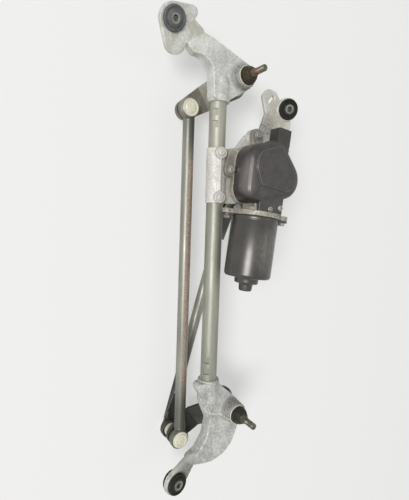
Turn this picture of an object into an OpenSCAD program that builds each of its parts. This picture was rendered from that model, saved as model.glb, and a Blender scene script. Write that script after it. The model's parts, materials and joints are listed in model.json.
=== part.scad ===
// Front windscreen wiper linkage with its gear motor, in millimetres.
// The origin lies on the left pivot axis where the wiper arm seats. +Z runs up the spindle and
// +X runs along the frame tube to the right pivot. The linkage is drawn parked.

/* [Layout] */
// Distance between the two wiper pivot axes
pivot_spacing = 440; // [400:1:480]
// Sideways distance from the pivot line to the frame tube
tube_y = 29; // [27:0.5:32]
// Depth of the frame tube's axis below the left arm seat
tube_drop = 50; // [48:0.5:52]
// Depth of both pivot bosses' lower faces below the left arm seat
boss_drop = 59.5; // [57:0.5:62]
// Depth of the left boss's upper face below the left arm seat
left_boss_drop = 20; // [18:0.5:24]
// Depth of the right boss's upper face below the left arm seat
right_boss_drop = 30; // [26:0.5:34]
// Depth of the right arm seat below the left one
right_seat_drop = 11; // [8:0.5:13]

/* [Frame tube] */
// Outer diameter of the frame tube
tube_d = 22; // [20:0.5:24]
// Wall of the frame tube
tube_wall = 1.8; // [1.5:0.1:2.2]
// Distance from the left pivot to the tube's left end
left_collar_x = 44; // [42:1:50]
// Distance from the right pivot back to the tube's right end
right_collar_x = 34; // [32:1:40]
// Diameter of the cast collars that the tube butts on
collar_d = 29; // [27:0.5:31]
// Length of the cast spigots inside the tube
spigot_len = 42; // [38:1:50]
// Length of a crimp dent
crimp_len = 9; // [7:0.5:10]
// Width of a crimp dent
crimp_w = 8; // [6:0.5:9]
// Depth of a crimp dent
crimp_depth = 2.2; // [1.5:0.1:2.6]
// Distance from the tube's end to the first dent's middle
crimp_inset = 13; // [11:0.5:15]
// Distance between the two dents at one end
crimp_pitch = 15; // [13:0.5:18]
// Turn of the dents about the tube, up from the lever side
crimp_roll = 40; // [20:1:60]

/* [Pivot housings] */
// Diameter of a pivot boss at its upper face
boss_d = 28; // [26:0.5:30]
// Growth of the boss's radius at its foot
boss_flare = 4; // [2:0.5:6]
// Height of the hollow cast arms
arm_h = 18; // [16:0.5:20]
// Height of the arms' undersides above the bosses' lower faces
arm_lift = 4; // [3:0.5:6]
// Skin on top of the hollow arms
arm_skin = 4; // [3:0.5:6]
// Side wall of the hollow arms
arm_wall = 3.5; // [3:0.5:5]
// Slope of the left arm's top towards its eye
left_arm_slope = 11; // [0:1:14]
// Slope of the right arm's top towards its eye
right_arm_slope = 15; // [0:1:18]
// Place along Y where the left arm's top starts to slope
left_slope_y = 42; // [38:1:50]
// Place along Y where the right arm's top starts to slope
right_slope_y = 48; // [44:1:56]
// Length of the tapers by which the collars run into the arms
collar_taper = 30; // [24:1:32]
// Diameter of the tapers' far ends
taper_end_d = 4; // [3:0.5:6]
// Left grommet's place along X from the left pivot
left_eye_x = -83; // [-90:1:-80]
// Left grommet's place along Y
left_eye_y = 80; // [76:1:84]
// Left grommet's depth below the arm seat
left_eye_drop = 42; // [40:0.5:46]
// Lean of the left grommet's axis towards the motor side
left_eye_lean = 11; // [0:1:16]
// Right grommet's place along X from the right pivot
right_eye_x = 46; // [42:1:50]
// Right grommet's place along Y
right_eye_y = 100; // [96:1:104]
// Right grommet's depth below the left arm seat
right_eye_drop = 42; // [40:0.5:46]
// Lean of the right grommet's axis towards the left pivot
right_eye_lean = 20; // [0:1:22]

/* [Grommets] */
// Outer diameter of the rubber grommets
grommet_d = 28; // [27:0.5:29]
// Thickness of each grommet flange
grommet_flange = 4.5; // [4:0.5:5.5]
// Bore of the cast eyes
eye_bore = 22; // [20:0.5:24]
// Thickness of the cast eyes
eye_t = 7; // [6:0.5:8]
// Outer diameter of the left and motor eyes
eye_d = 31; // [30:0.5:33]
// Outer diameter of the right eye
right_eye_d = 34; // [32:0.5:36]
// Outer diameter of the steel sleeves
sleeve_d = 13; // [11:0.5:14]
// Bore of the steel sleeves for an M6 bolt
sleeve_bore = 6.6; // [6.2:0.1:7]
// Collar diameter on the lower end of the sleeves
sleeve_collar_d = 19; // [17:0.5:21]
// Thickness of the sleeves' collars, and how far the sleeves stand out on top
sleeve_stand = 1.5; // [1:0.1:2]

/* [Pivot shafts] */
// Diameter of the pivot shafts in their bushes
shaft_d = 12; // [11:0.5:13]
// Diameter of the spindle threads
thread_d = 8; // [7:0.5:9]
// Length of the spindle threads above the arm seats
thread_len = 16.5; // [14:0.5:20]
// Length of the splined cones below the arm seats
cone_len = 8; // [6:0.5:10]
// Length of one pivot bush
bush_len = 11; // [9:0.5:12]
// Wall of the pivot bushes
bush_wall = 3; // [2:0.5:3.5]
// Radial running clearance of the shafts
run_clear = 0.05; // [0.03:0.01:0.1]
// Radial clearance of pieces that are pressed together
press_clear = 0.02; // [0.01:0.01:0.05]
// Thickness of the thrust washers
washer_t = 1.2; // [1:0.1:2]
// Diameter of the thrust washers
washer_d = 26; // [22:0.5:28]
// Axial play of the pivot shafts
axial_play = 0.3; // [0.2:0.05:0.5]
// Diameter of the retaining washers on the bosses
retainer_d = 25; // [22:0.5:26]
// Thickness of the retaining washers
retainer_t = 1; // [0.8:0.1:1.5]
// Diameter of the dust caps at their skirts
dust_cap_d = 23; // [20:0.5:24]
// Wall of the dust caps
dust_cap_wall = 1.6; // [1.2:0.1:2]

/* [Levers] */
// Length of both levers from pivot to ball stud
lever_len = 75; // [72:0.5:80]
// Heading of the parked levers, from +X
lever_rest = 124; // [120:1:126]
// Thickness of the levers
lever_t = 5; // [4:0.5:6]
// Radius of the levers round the pivots
lever_hub_r = 21; // [18:0.5:23]
// Radius of the levers round the ball studs
lever_tip_r = 12.5; // [11:0.5:14]
// Drop of the levers' joggle
lever_joggle = 16.5; // [15:0.5:18]
// Distance from the pivot to the start of the joggle
joggle_start = 24; // [22:0.5:26]
// Length of the joggle's slope
joggle_run = 18; // [16:0.5:20]
// Diameter of the shafts' ends riveted in the levers
rivet_d = 9; // [8:0.5:10]
// Diameter of the rivet heads
rivet_head_d = 16; // [14:0.5:18]
// Thickness of the rivet heads
rivet_head_t = 2.5; // [2:0.5:3]

/* [Ball joints] */
// Diameter of the balls
ball_d = 13; // [12:0.5:14]
// Radial clearance of a ball in its socket
ball_clear = 0.15; // [0.1:0.05:0.3]
// Diameter of the ball studs' necks
neck_d = 8; // [7:0.5:8.5]
// Height of the link balls' centres above the levers
link_ball_rise = 8; // [7.5:0.5:9]
// Depth of the drive ball's centre below the left lever
drive_ball_drop = 12; // [11:0.5:14]
// Height of the sockets' mouths past the balls' centres
socket_mouth = 4; // [3.5:0.5:4.5]
// Height of the sockets' closed ends past the balls' centres
socket_crown = 10; // [9.5:0.5:12]
// Diameter of the nylon sockets in the rods' eyes
socket_d = 19; // [18.5:0.5:20]
// Diameter of the sockets' lips
socket_lip_d = 22; // [21.5:0.5:23.5]
// Thickness of the sockets' lips
socket_lip_t = 2; // [1.5:0.5:2.5]

/* [Rods] */
// Width of the link rod's pressed channel
link_w = 15; // [13:0.5:16]
// Sideways set of the link rod's channel from the line of its balls
link_set = 3; // [0:0.5:4]
// Height of the link rod's pressed channel
link_h = 10; // [9:0.5:11]
// Width of the drive rod's pressed channel
drive_w = 15; // [13:0.5:16]
// Height of the drive rod's pressed channel
drive_h = 9; // [8.5:0.5:10]
// Sheet of both rods
rod_wall = 2; // [1.5:0.1:2.5]
// Wall of the rods' drawn eyes round the sockets
rod_eye_wall = 3.5; // [3:0.5:4]
// Height of the rods' drawn eyes
rod_eye_h = 8; // [7:0.5:9]
// Length of the drive rod's flared ends
flare_len = 46; // [40:1:52]

/* [Crank] */
// Gearbox output axis along X from the left pivot
output_x = 313; // [305:1:320]
// Gearbox output axis along Y
output_y = -44; // [-46:0.5:-42]
// Length of the crank from shaft to ball
crank_len = 42; // [38:0.5:44]
// Heading of the parked crank, from +X
crank_rest = 154; // [148:1:158]
// Thickness of the crank arm
crank_t = 6; // [5:0.5:7]
// Radius of the crank arm round its shaft
crank_hub_r = 13; // [12:0.5:15]
// Radius of the crank arm round its stud
crank_tip_r = 10.5; // [9.5:0.5:12]
// Diameter of the output shaft
output_d = 10; // [9:0.5:11]
// Width across the flats of the crank nut
nut_af = 17; // [15:0.5:18]
// Thickness of the crank nut
nut_t = 6; // [5:0.5:6.5]
// Gap between the crank's stud and the ball where the linkage's loop is open
loop_gap = 0.5; // [0.4:0.1:1]
// Height of the crank arm's underside above the crank ball's neck
crank_lift = 7.4; // [7.2:0.1:9]

/* [Worm drive] */
// Depth of the motor's axis below the left arm seat
motor_drop = 16; // [14:0.5:18]
// Turn of the motor's axis about +Z
motor_yaw = -6.7; // [-10:0.1:-4]
// Module of the worm wheel
gear_module = 0.9; // [0.85:0.01:0.95]
// Teeth of the worm wheel
wheel_teeth = 48; // [46:1:50]
// Pitch diameter of the worm
worm_d = 9.6; // [9:0.1:10.4]
// Share of the pitch that a tooth or thread takes at the pitch line
tooth_share = 0.41; // [0.38:0.01:0.44]
// Face width of the worm wheel
wheel_w = 9; // [8:0.5:10]
// Turns of the worm's thread
worm_turns = 5; // [5:1:6]

/* [Gearbox] */
// Depth of the gear housing's underside below the motor's axis
housing_floor = 22; // [21:0.5:24]
// Thickness of the gear housing's base
housing_base_t = 8; // [7:0.5:9]
// Wall round the worm wheel, with its clearance
wheel_house_wall = 3.6; // [3.5:0.1:5]
// Outer diameter of the output boss
output_boss_d = 26; // [24:0.5:28]
// Length of the output boss below the base
output_boss_len = 30; // [27:0.5:31]
// Wall of the output bush
output_bush_wall = 3; // [2.5:0.5:3.5]
// Height of the gear cover above the housing's base
cover_h = 33; // [30:0.5:35]
// Wall of the gear cover
cover_wall = 2.5; // [2:0.5:3]
// Radius by which the cover draws in at its top
cover_dome = 9; // [8:0.5:10]
// Height of the raised panel on the cover
panel_h = 2; // [1:0.5:3]
// Length of the connector socket
connector_len = 22; // [20:0.5:26]
// Width of the connector socket
connector_w = 20; // [18:0.5:22]
// Height of the connector socket
connector_h = 18; // [16:0.5:20]
// Wall of the connector socket
connector_wall = 1.8; // [1.5:0.1:2.2]
// Number of blade terminals
terminal_count = 5; // [4:1:5]

/* [Motor] */
// Diameter of the motor can
can_d = 60; // [58:0.5:62]
// Length of the motor can
can_len = 78; // [75:0.5:82]
// Wall of the motor can
can_wall = 1.8; // [1.5:0.1:2.2]
// Thickness of the gear housing's motor flange
flange_t = 6; // [6:0.5:8]
// Distance from the output axis to the flange's gearbox face
flange_x = 47; // [46:0.5:50]
// Radius from the motor's axis to the can bolts
can_bolt_r = 37; // [36.5:0.5:39]
// Turn of the can bolts about the motor's axis
can_bolt_turn = -19; // [-30:1:-10]
// Diameter of the can's first rear step
step_d = 31; // [29:0.5:34]
// Length of the can's first rear step
step_len = 8; // [7:0.5:10]
// Diameter of the can's rear bearing cup
cup_d = 18; // [17:0.5:20]
// Length of the can's rear bearing cup
cup_len = 10; // [9:0.5:11]
// Diameter of the armature shaft
arm_shaft_d = 8; // [7:0.5:8.5]
// Diameter of the armature core
core_d = 43; // [40:0.5:44]
// Slots in the armature core
core_slots = 10; // [8:1:12]
// Radial thickness of the field magnets
magnet_t = 5.5; // [5:0.1:5.8]

/* [Motor bracket] */
// Length of the bracket's tube saddle
saddle_len = 70; // [68:1:74]
// Distance from the output axis back to the saddle's left end
saddle_back = 33.5; // [32:0.5:36]
// Wall of the tube saddle
saddle_wall = 2.5; // [2:0.5:3]
// Distance between the two saddle screws
saddle_pitch = 55.5; // [52:0.5:57]
// Turn of the saddle screws about the tube, up from the lever side
saddle_roll = 82; // [70:1:100]
// Thickness of the bracket's plate
plate_t = 5; // [4:0.5:6]
// Height of the three bosses under the gear housing
mount_boss_h = 3; // [2.5:0.5:4]
// Motor grommet's place along X from the output axis
motor_eye_x = 101; // [98:1:104]
// Motor grommet's place along Y from the output axis
motor_eye_y = -33; // [-36:1:-31]
// Depth of the motor grommet below the arm seat
motor_eye_drop = 39; // [38:0.5:41]
// Lean of the motor grommet's axis towards the tube
motor_eye_lean_y = 14; // [8:1:16]
// Lean of the motor grommet's axis towards the left pivot
motor_eye_lean_x = 12; // [6:1:14]
// Diameter of the hexagon bolts
bolt_d = 5; // [4.5:0.5:5.5]
// Width across the flats of the bolt heads
bolt_af = 8; // [7:0.5:8.5]
// Thickness of the bolt heads
bolt_head_t = 4; // [3:0.5:5]
// How far the mounting bolts reach into the bracket's plate
bolt_grip = 1.4; // [1:0.1:2]

/* [Hidden] */
$fn = 64;
hull_fn = 32;
bolt_hole = bolt_d + 0.4;
m4_d = 4;
m4_hole = m4_d + 0.6;
tube_r = tube_d / 2;
tube_bore_r = tube_r - tube_wall;
tube_left = left_collar_x;
tube_right = pivot_spacing - right_collar_x;
slide_clear = 0.1;
part_gap = 0.5;
dent_clear = 0.3;
crimp_places = [for (i = [0, 1]) for (end = [0, 1])
    end == 0 ? tube_left + crimp_inset + i * crimp_pitch : tube_right - crimp_inset - i * crimp_pitch];

// Heights of the linkage, worked down from the bosses
hub_top = -boss_drop - washer_t - axial_play;
tip_top = hub_top - lever_joggle;
tip_bottom = tip_top - lever_t;
link_ball_z = tip_top + link_ball_rise;
drive_ball_z = tip_bottom - drive_ball_drop;
ball_neck = socket_mouth + 1;
loop_z = drive_ball_z + ball_neck + loop_gap;
crank_bottom = drive_ball_z + ball_neck + crank_lift;
arm_z = -boss_drop + arm_lift;

// The linkage in plan, parked
output_at = [output_x, output_y];
lever_tip = lever_len * [cos(lever_rest), sin(lever_rest)];
crank_tip = output_at + crank_len * [cos(crank_rest), sin(crank_rest)];
drive_run = crank_tip - lever_tip;
drive_len = norm(drive_run);
drive_heading = atan2(drive_run.y, drive_run.x);

// The worm drive
pitch_r = gear_module * wheel_teeth / 2;
axial_pitch = PI * gear_module;
addendum = 0.9 * gear_module;
dedendum = 1.15 * gear_module;
wheel_tip_r = pitch_r + addendum;
worm_r = worm_d / 2;
centre_distance = pitch_r + worm_r;
lead_angle = atan(axial_pitch / (PI * worm_d));
worm_len = worm_turns * axial_pitch;
flank_slope = tan(14.5);
motor_side = [-sin(motor_yaw), cos(motor_yaw)];
worm_at = output_at + centre_distance * motor_side;

// The gearbox in plan, in the motor's own frame
wheel_house_r = wheel_tip_r + wheel_house_wall;
base_top = housing_base_t - housing_floor;
cover_top = base_top + cover_h;
gear_lobes = [[0, -centre_distance, wheel_house_r], [-18, 11, 20], [16, 10, 22], [31, -10, 16]];
mount_ears = [[2, 36.5], [54, 2], [24, -60]];
ear_r = 9;
connector_y = -17.5;
connector_x = 40;
connector_z = -2;
flange_r = can_d / 2 + 3;
can_ear_d = 14;
can_ear_t = 2.5;
magnet_len = can_len - 32;
core_len = magnet_len - 10;
commutator_d = 22;
commutator_len = 12;
can_front = -flange_x - flange_t;
can_back = can_front - can_len;
bearing_d = 22;
bearing_t = 7;
worm_bore_r = worm_r + addendum + 1.8;
worm_end = 32;
end_bush_len = 8;
block_half = worm_bore_r + 4;
mount_floor = -motor_drop - housing_floor;

// Colours as the photograph shows them
cast_grey = "#b9bab5";
tube_grey = "#b3b4aa";
rod_grey = "#84857c";
lever_black = "#34352f";
nylon_cream = "#dcd9c2";
rubber_black = "#35352f";
zinc = "#a9a9a4";
cover_black = "#474343";
can_brown = "#4a4642";
bronze = "#a5804f";
copper = "#a86b3c";

module at_right() { translate([pivot_spacing, 0, 0]) children(); }
module at_lever_tip() { translate([lever_tip.x, lever_tip.y, 0]) children(); }
module at_crank_tip() { translate([crank_tip.x, crank_tip.y, 0]) children(); }
module at_motor() {
    translate([worm_at.x, worm_at.y, -motor_drop]) rotate([0, 0, motor_yaw]) children();
}
module at_left_eye() {
    translate([left_eye_x, left_eye_y, -left_eye_drop]) rotate([left_eye_lean, 0, 0]) children();
}
module at_right_eye() {
    translate([pivot_spacing + right_eye_x, right_eye_y, -right_eye_drop])
        rotate([0, -right_eye_lean, 0]) children();
}
module at_motor_eye() {
    translate([output_x + motor_eye_x, output_y + motor_eye_y, -motor_eye_drop])
        rotate([-motor_eye_lean_y, -motor_eye_lean_x, 0]) children();
}
module along_x(x) { translate([x, 0, 0]) rotate([0, 90, 0]) children(); }
module ring(d, bore, h) {
    difference() {
        cylinder(d = d, h = h);
        translate([0, 0, -1]) cylinder(d = bore, h = h + 2);
    }
}

// Frame tube and its crimped joints
module at_crimps() {
    for (x = crimp_places) translate([x, tube_y, -tube_drop]) rotate([crimp_roll, 0, 0]) children();
}
module crimp_pad(grow) {
    pad_l = crimp_len + 2 * tube_wall + 2 * grow;
    pad_w = crimp_w + 2 * tube_wall + 2 * grow;
    pad_y = tube_r - crimp_depth - tube_wall - grow;
    intersection() {
        translate([-pad_l / 2, pad_y, -pad_w / 2]) cube([pad_l, tube_d, pad_w]);
        along_x(-pad_l) cylinder(r = tube_r - tube_wall / 2, h = 2 * pad_l);
    }
}
module frame_tube() {
    color(tube_grey) difference() {
        union() {
            translate([0, tube_y, -tube_drop]) along_x(tube_left)
                ring(tube_d, 2 * tube_bore_r, tube_right - tube_left);
            at_crimps() crimp_pad(0);
        }
        at_crimps() translate([-crimp_len / 2, tube_r - crimp_depth, -crimp_w / 2])
            cube([crimp_len, tube_r, crimp_w]);
        at_saddle_screws() cylinder(d = m4_hole, h = tube_r + saddle_wall);
    }
}

// Pivot housings: a flared boss, a collar with its spigot, and a hollow arm to the grommet's eye
module pivot_boss(top_drop) {
    translate([0, 0, -boss_drop])
        cylinder(d1 = boss_d + 2 * boss_flare, d2 = boss_d, h = boss_drop - top_drop);
}
module boss_bore() {
    translate([0, 0, -boss_drop - 1])
        cylinder(d = shaft_d + 2 * run_clear + 2 * bush_wall + 2 * press_clear, h = boss_drop);
}
left_collar_root = 14;
right_collar_root = pivot_spacing - 8;
module collar(length) {
    along_x(0) cylinder(d = collar_d, h = length);
    along_x(-collar_taper) cylinder(d1 = taper_end_d, d2 = collar_d, h = collar_taper);
}
module spigot(from, to) {
    translate([0, tube_y, -tube_drop]) along_x(from)
        difference() {
            cylinder(r = tube_bore_r - slide_clear, h = to - from);
            translate([0, 0, -1]) cylinder(r = tube_bore_r / 2, h = to - from + 2);
        }
}
// Room under a collar for the lever that swings there
collar_reach = joggle_start + joggle_run * (tube_drop + collar_d / 2 + hub_top) / lever_joggle;
module lever_relief() {
    translate([0, 0, hub_top - collar_d + part_gap])
        cylinder(r = norm([collar_reach, lever_hub_r]) + part_gap, h = collar_d);
}
module above_slope(from_y, slope, height) {
    translate([0, from_y, height]) rotate([-slope, 0, 0])
        translate([-pivot_spacing / 2, 0, 0]) cube([pivot_spacing, pivot_spacing, 2 * arm_h]);
}
module hollow_arm(from_y, slope) {
    difference() {
        linear_extrude(arm_h) children();
        above_slope(from_y, slope, arm_h);
        difference() {
            translate([0, 0, -1]) linear_extrude(arm_h - arm_skin + 1) offset(delta = -arm_wall) children();
            above_slope(from_y, slope, arm_h - arm_skin);
        }
    }
}
module eye_clearance() { translate([0, 0, -arm_h * 2]) cylinder(d = grommet_d + 1.6, h = arm_h * 4); }
module eye_ring() { translate([0, 0, -eye_t / 2]) cylinder(d = eye_d, h = eye_t); }
module eye_hole() { translate([0, 0, -eye_t]) cylinder(d = eye_bore, h = 2 * eye_t); }
module left_plan() {
    offset(r = 5, $fn = hull_fn) offset(r = -15, $fn = hull_fn) offset(delta = 10)
        polygon([[10, -13], [-30, -14], [-50, -6], [-63, 8], [-69, 26], [-67, 56], [-60, 64], [-50, 47],
            [-34, 36], [-6, tube_y + 2], [14, tube_y + 8], [left_collar_x - 12, tube_y + 20],
            [left_collar_x - 1, tube_y + 24], [left_collar_x - 3, tube_y - 8]]);
}
// The left eye's plate, with a neck that runs into the arm
module left_eye_plate() {
    translate([0, 0, -eye_t / 2]) linear_extrude(eye_t) hull() {
        circle(d = eye_d, $fn = hull_fn);
        translate([22, -26]) circle(r = 8.5, $fn = hull_fn);
    }
}
module left_pivot_housing() {
    color(cast_grey) difference() {
        union() {
            difference() {
                translate([0, 0, arm_z]) hollow_arm(left_slope_y, left_arm_slope) left_plan();
                at_left_eye() eye_clearance();
            }
            pivot_boss(left_boss_drop);
            translate([left_collar_root, tube_y, -tube_drop]) collar(tube_left - left_collar_root);
            spigot(tube_left, tube_left + spigot_len);
            at_left_eye() left_eye_plate();
        }
        boss_bore();
        lever_relief();
        at_left_eye() eye_hole();
        at_crimps() crimp_pad(dent_clear);
    }
}
module right_plan() {
    offset(r = 5, $fn = hull_fn) offset(r = -17, $fn = hull_fn) offset(delta = 12)
        polygon([[17, -12], [43, 62], [38, 71], [24, 77], [17, 70], [16, 58], [4, tube_y + 16],
            [1 - right_collar_x, tube_y + 14], [2 - right_collar_x, tube_y - 8], [-10, -13]]);
}
// The right eye's plate, with a small lobe, a large lobe and the root in the arm
right_lobes = [[12.5, -22, 7], [-22, -7, 14], [-10, -32, 12]];
module right_eye_plate() {
    translate([0, 0, -eye_t / 2]) linear_extrude(eye_t) for (lobe = right_lobes) hull() {
        circle(d = right_eye_d, $fn = hull_fn);
        translate([lobe.x, lobe.y]) circle(r = lobe.z, $fn = hull_fn);
    }
}
module right_pivot_housing() {
    color(cast_grey) difference() {
        union() {
            difference() {
                at_right() translate([0, 0, arm_z]) hollow_arm(right_slope_y, right_arm_slope) right_plan();
                at_right_eye() eye_clearance();
            }
            at_right() pivot_boss(right_boss_drop);
            translate([right_collar_root, tube_y, -tube_drop]) mirror([1, 0, 0])
                collar(right_collar_root - tube_right);
            spigot(tube_right - spigot_len, tube_right);
            at_right_eye() right_eye_plate();
        }
        at_right() boss_bore();
        at_right() lever_relief();
        at_right_eye() eye_hole();
        at_crimps() crimp_pad(dent_clear);
    }
}

// Motor bracket: a saddle over the tube, a plate under the gearbox and an arm to the third grommet
saddle_left = output_x - saddle_back;
saddle_mid = saddle_left + saddle_len / 2;
saddle_r = tube_r + slide_clear + saddle_wall;
saddle_boss_d = 15;
saddle_boss_h = 3;
screw_head_t = 2.4;
plate_z = mount_floor - mount_boss_h - plate_t;
module at_saddle_screws() {
    for (side = [-1, 1]) translate([saddle_mid + side * saddle_pitch / 2, tube_y, -tube_drop])
        rotate([saddle_roll - 90, 0, 0]) children();
}
module at_mounts() {
    at_motor() for (p = mount_ears) translate([p.x, p.y, -housing_floor]) children();
}
module bracket_plan() {
    eye = output_at + [motor_eye_x, motor_eye_y];
    offset(r = 6, $fn = hull_fn) offset(r = -9, $fn = hull_fn) offset(delta = 3)
        polygon([[saddle_left, tube_y - 4], [saddle_left, tube_y - 24], [output_x - 14, output_y - 28],
            [output_x + 8, output_y - 50], [output_x + 30, output_y - 50], [output_x + 52, output_y - 24],
            [output_x + 66, output_y - 39], eye + [-17, -12], eye + [-4, -6], eye + [8, 8],
            eye + [21, 18], eye + [23, 32],
            eye + [13, 42], eye + [-10, 35], [output_x + 64, output_y + 12], [output_x + 58, output_y + 34],
            [saddle_left + saddle_len, tube_y - 22], [saddle_left + saddle_len, tube_y - 4]]);
}
module motor_bracket() {
    eye = output_at + [motor_eye_x, motor_eye_y];
    color(cast_grey) difference() {
        union() {
            difference() {
                translate([0, 0, plate_z]) linear_extrude(plate_t) bracket_plan();
                at_motor_eye() eye_clearance();
            }
            difference() {
                translate([0, tube_y, -tube_drop]) along_x(saddle_left)
                    cylinder(r = saddle_r, h = saddle_len);
                translate([saddle_left - 1, tube_y - 2 * tube_d, -tube_drop - 2 * tube_d])
                    cube([saddle_len + 2, 4 * tube_d, 2 * tube_d - 3]);
            }
            at_saddle_screws() cylinder(d = saddle_boss_d, h = saddle_r + saddle_boss_h);
            saddle_rib();
            at_mounts() translate([0, 0, -mount_boss_h - plate_t])
                cylinder(r = ear_r, h = mount_boss_h + plate_t);
            at_motor_eye() eye_ring();
        }
        translate([saddle_left - 1, tube_y, -tube_drop]) rotate([0, 90, 0])
            cylinder(r = tube_r + slide_clear, h = saddle_len + 2);
        at_saddle_screws() cylinder(d = m4_hole, h = 2 * saddle_r);
        at_mounts() translate([0, 0, -mount_boss_h - bolt_grip - 0.5])
            cylinder(d = bolt_d + 2 * press_clear, h = mount_boss_h + plate_t);
        translate([output_x, output_y, plate_z - 1]) cylinder(d = output_boss_d + 14, h = plate_t + 2);
        at_motor_eye() eye_hole();
        translate([eye.x + 9, eye.y + 26, plate_z - 1]) rotate([0, 0, -40]) bracket_slot();
    }
}
module saddle_rib() {
    translate([saddle_mid - saddle_pitch / 2, tube_y, -tube_drop]) rotate([saddle_roll - 90, 0, 0])
        translate([0, -1.5, tube_r]) cube([saddle_pitch, 3, saddle_wall + 2]);
}
module bracket_slot() {
    for (x = [-4, 4]) translate([x, 0, 0]) cylinder(d = 5.5, h = plate_t + 2);
    translate([-4, -2.75, 0]) cube([8, 5.5, plate_t + 2]);
}
module saddle_screws() {
    color(zinc) at_saddle_screws() {
        translate([0, 0, tube_bore_r - 1])
            cylinder(d = m4_d, h = saddle_r + saddle_boss_h - tube_bore_r + 1.5);
        translate([0, 0, saddle_r + saddle_boss_h]) cylinder(d = 2 * m4_d, h = screw_head_t);
    }
}

// Rubber grommets with their steel sleeves
module grommet() {
    reach = eye_t / 2 + grommet_flange;
    chamfer = grommet_flange / 3;
    color(rubber_black) difference() {
        union() {
            translate([0, 0, -eye_t / 2 - 1]) cylinder(d = eye_bore - 2 * slide_clear, h = eye_t + 2);
            for (side = [-1, 1]) scale(side) {
                translate([0, 0, eye_t / 2]) cylinder(d = grommet_d, h = grommet_flange - chamfer);
                translate([0, 0, reach - chamfer])
                    cylinder(d1 = grommet_d, d2 = grommet_d - 2 * chamfer, h = chamfer);
            }
        }
        translate([0, 0, -2 * reach]) cylinder(d = sleeve_d + 2 * press_clear, h = 4 * reach);
        for (side = [-1, 1]) scale(side) translate([0, 0, reach - 1.2])
            ring((grommet_d + sleeve_d) / 2 + 2, (grommet_d + sleeve_d) / 2 - 1.5, 3);
    }
}
module sleeve() {
    reach = eye_t / 2 + grommet_flange;
    color(zinc) difference() {
        union() {
            translate([0, 0, -reach - sleeve_stand]) cylinder(d = sleeve_collar_d, h = sleeve_stand);
            translate([0, 0, -reach - sleeve_stand]) cylinder(d = sleeve_d, h = 2 * reach + 2 * sleeve_stand);
        }
        translate([0, 0, -2 * reach]) cylinder(d = sleeve_bore, h = 4 * reach);
    }
}
module left_grommet() { at_left_eye() grommet(); }
module right_grommet() { at_right_eye() grommet(); }
module motor_grommet() { at_motor_eye() grommet(); }
module left_grommet_sleeve() { at_left_eye() sleeve(); }
module right_grommet_sleeve() { at_right_eye() sleeve(); }
module motor_grommet_sleeve() { at_motor_eye() sleeve(); }

// Pivot bushes, two in each boss
module pivot_bushes(top_drop) {
    bush_bore = shaft_d + 2 * run_clear;
    color(bronze) {
        translate([0, 0, -boss_drop]) ring(bush_bore + 2 * bush_wall, bush_bore, bush_len);
        translate([0, 0, -top_drop - bush_len]) ring(bush_bore + 2 * bush_wall, bush_bore, bush_len);
    }
}
module left_pivot_bushes() { pivot_bushes(left_boss_drop); }
module right_pivot_bushes() { at_right() pivot_bushes(right_boss_drop); }

// Gear housing: base, worm block, output boss, three mounting ears and the motor flange
module gear_plan(inset) {
    hull() for (c = gear_lobes) translate([c.x, c.y]) circle(r = c.z - inset, $fn = hull_fn);
}
module ear_plan(ends) {
    hull() for (p = ends) translate(p) circle(r = ear_r, $fn = hull_fn);
}
module at_can_bolts() {
    for (side = [0, 180]) rotate([can_bolt_turn + side, 0, 0]) translate([0, -can_bolt_r, 0]) children();
}
module gear_housing() {
    color(cast_grey) difference() {
        at_motor() gear_casting();
        translate([0, tube_y, -tube_drop]) along_x(saddle_left - 1)
            cylinder(r = saddle_r + part_gap, h = saddle_len + 2);
    }
}
module gear_casting() {
    difference() {
        union() {
            translate([0, 0, -housing_floor]) linear_extrude(housing_base_t) gear_plan(0);
            translate([0, 0, -housing_floor]) linear_extrude(housing_base_t - 1) {
                ear_plan([mount_ears[0], [21, 34], [5, 12]]);
                ear_plan([mount_ears[1], [25, -6]]);
                ear_plan([mount_ears[2], [8, -centre_distance - 8]]);
            }
            translate([-flange_x + 2, -block_half, base_top - 1])
                cube([flange_x - 2 + worm_end + end_bush_len, 2 * block_half, block_half + 1 - base_top]);
            translate([0, -centre_distance, -housing_floor - output_boss_len])
                cylinder(d = output_boss_d, h = output_boss_len + housing_base_t);
            along_x(can_front) cylinder(r = flange_r, h = flange_t);
            at_can_bolts() along_x(can_front) cylinder(d = can_ear_d, h = flange_t);
            along_x(can_front) cylinder(r = bearing_d / 2 + 4, h = flange_t + 6);
        }
        along_x(can_front - 1) cylinder(d = core_d + 3, h = 4);
        along_x(can_front - 1) cylinder(d = bearing_d + 2 * press_clear, h = flange_t + 1);
        along_x(can_front) cylinder(r = worm_bore_r, h = -can_front + worm_end);
        along_x(worm_end - 1) cylinder(d = 2 * worm_bore_r, h = end_bush_len + 2);
        translate([0, -centre_distance, -wheel_w / 2 - 1.5]) cylinder(r = wheel_tip_r + 1.5, h = 2 * cover_h);
        translate([0, -centre_distance, -housing_floor - output_boss_len - 1])
            cylinder(d = output_d + 2 * run_clear + 2 * output_bush_wall + 2 * press_clear,
                h = output_boss_len + housing_floor);
        at_can_bolts() along_x(can_front - 1) cylinder(d = bolt_hole, h = flange_t + 2);
        for (p = mount_ears) translate([p.x, p.y, -housing_floor - 1])
            cylinder(d = bolt_hole, h = housing_base_t + 2);
        for (p = tongue_screws) translate([p.x, p.y, 0]) cylinder(d = m4_d - 0.8, h = cover_h);
    }
}

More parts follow.
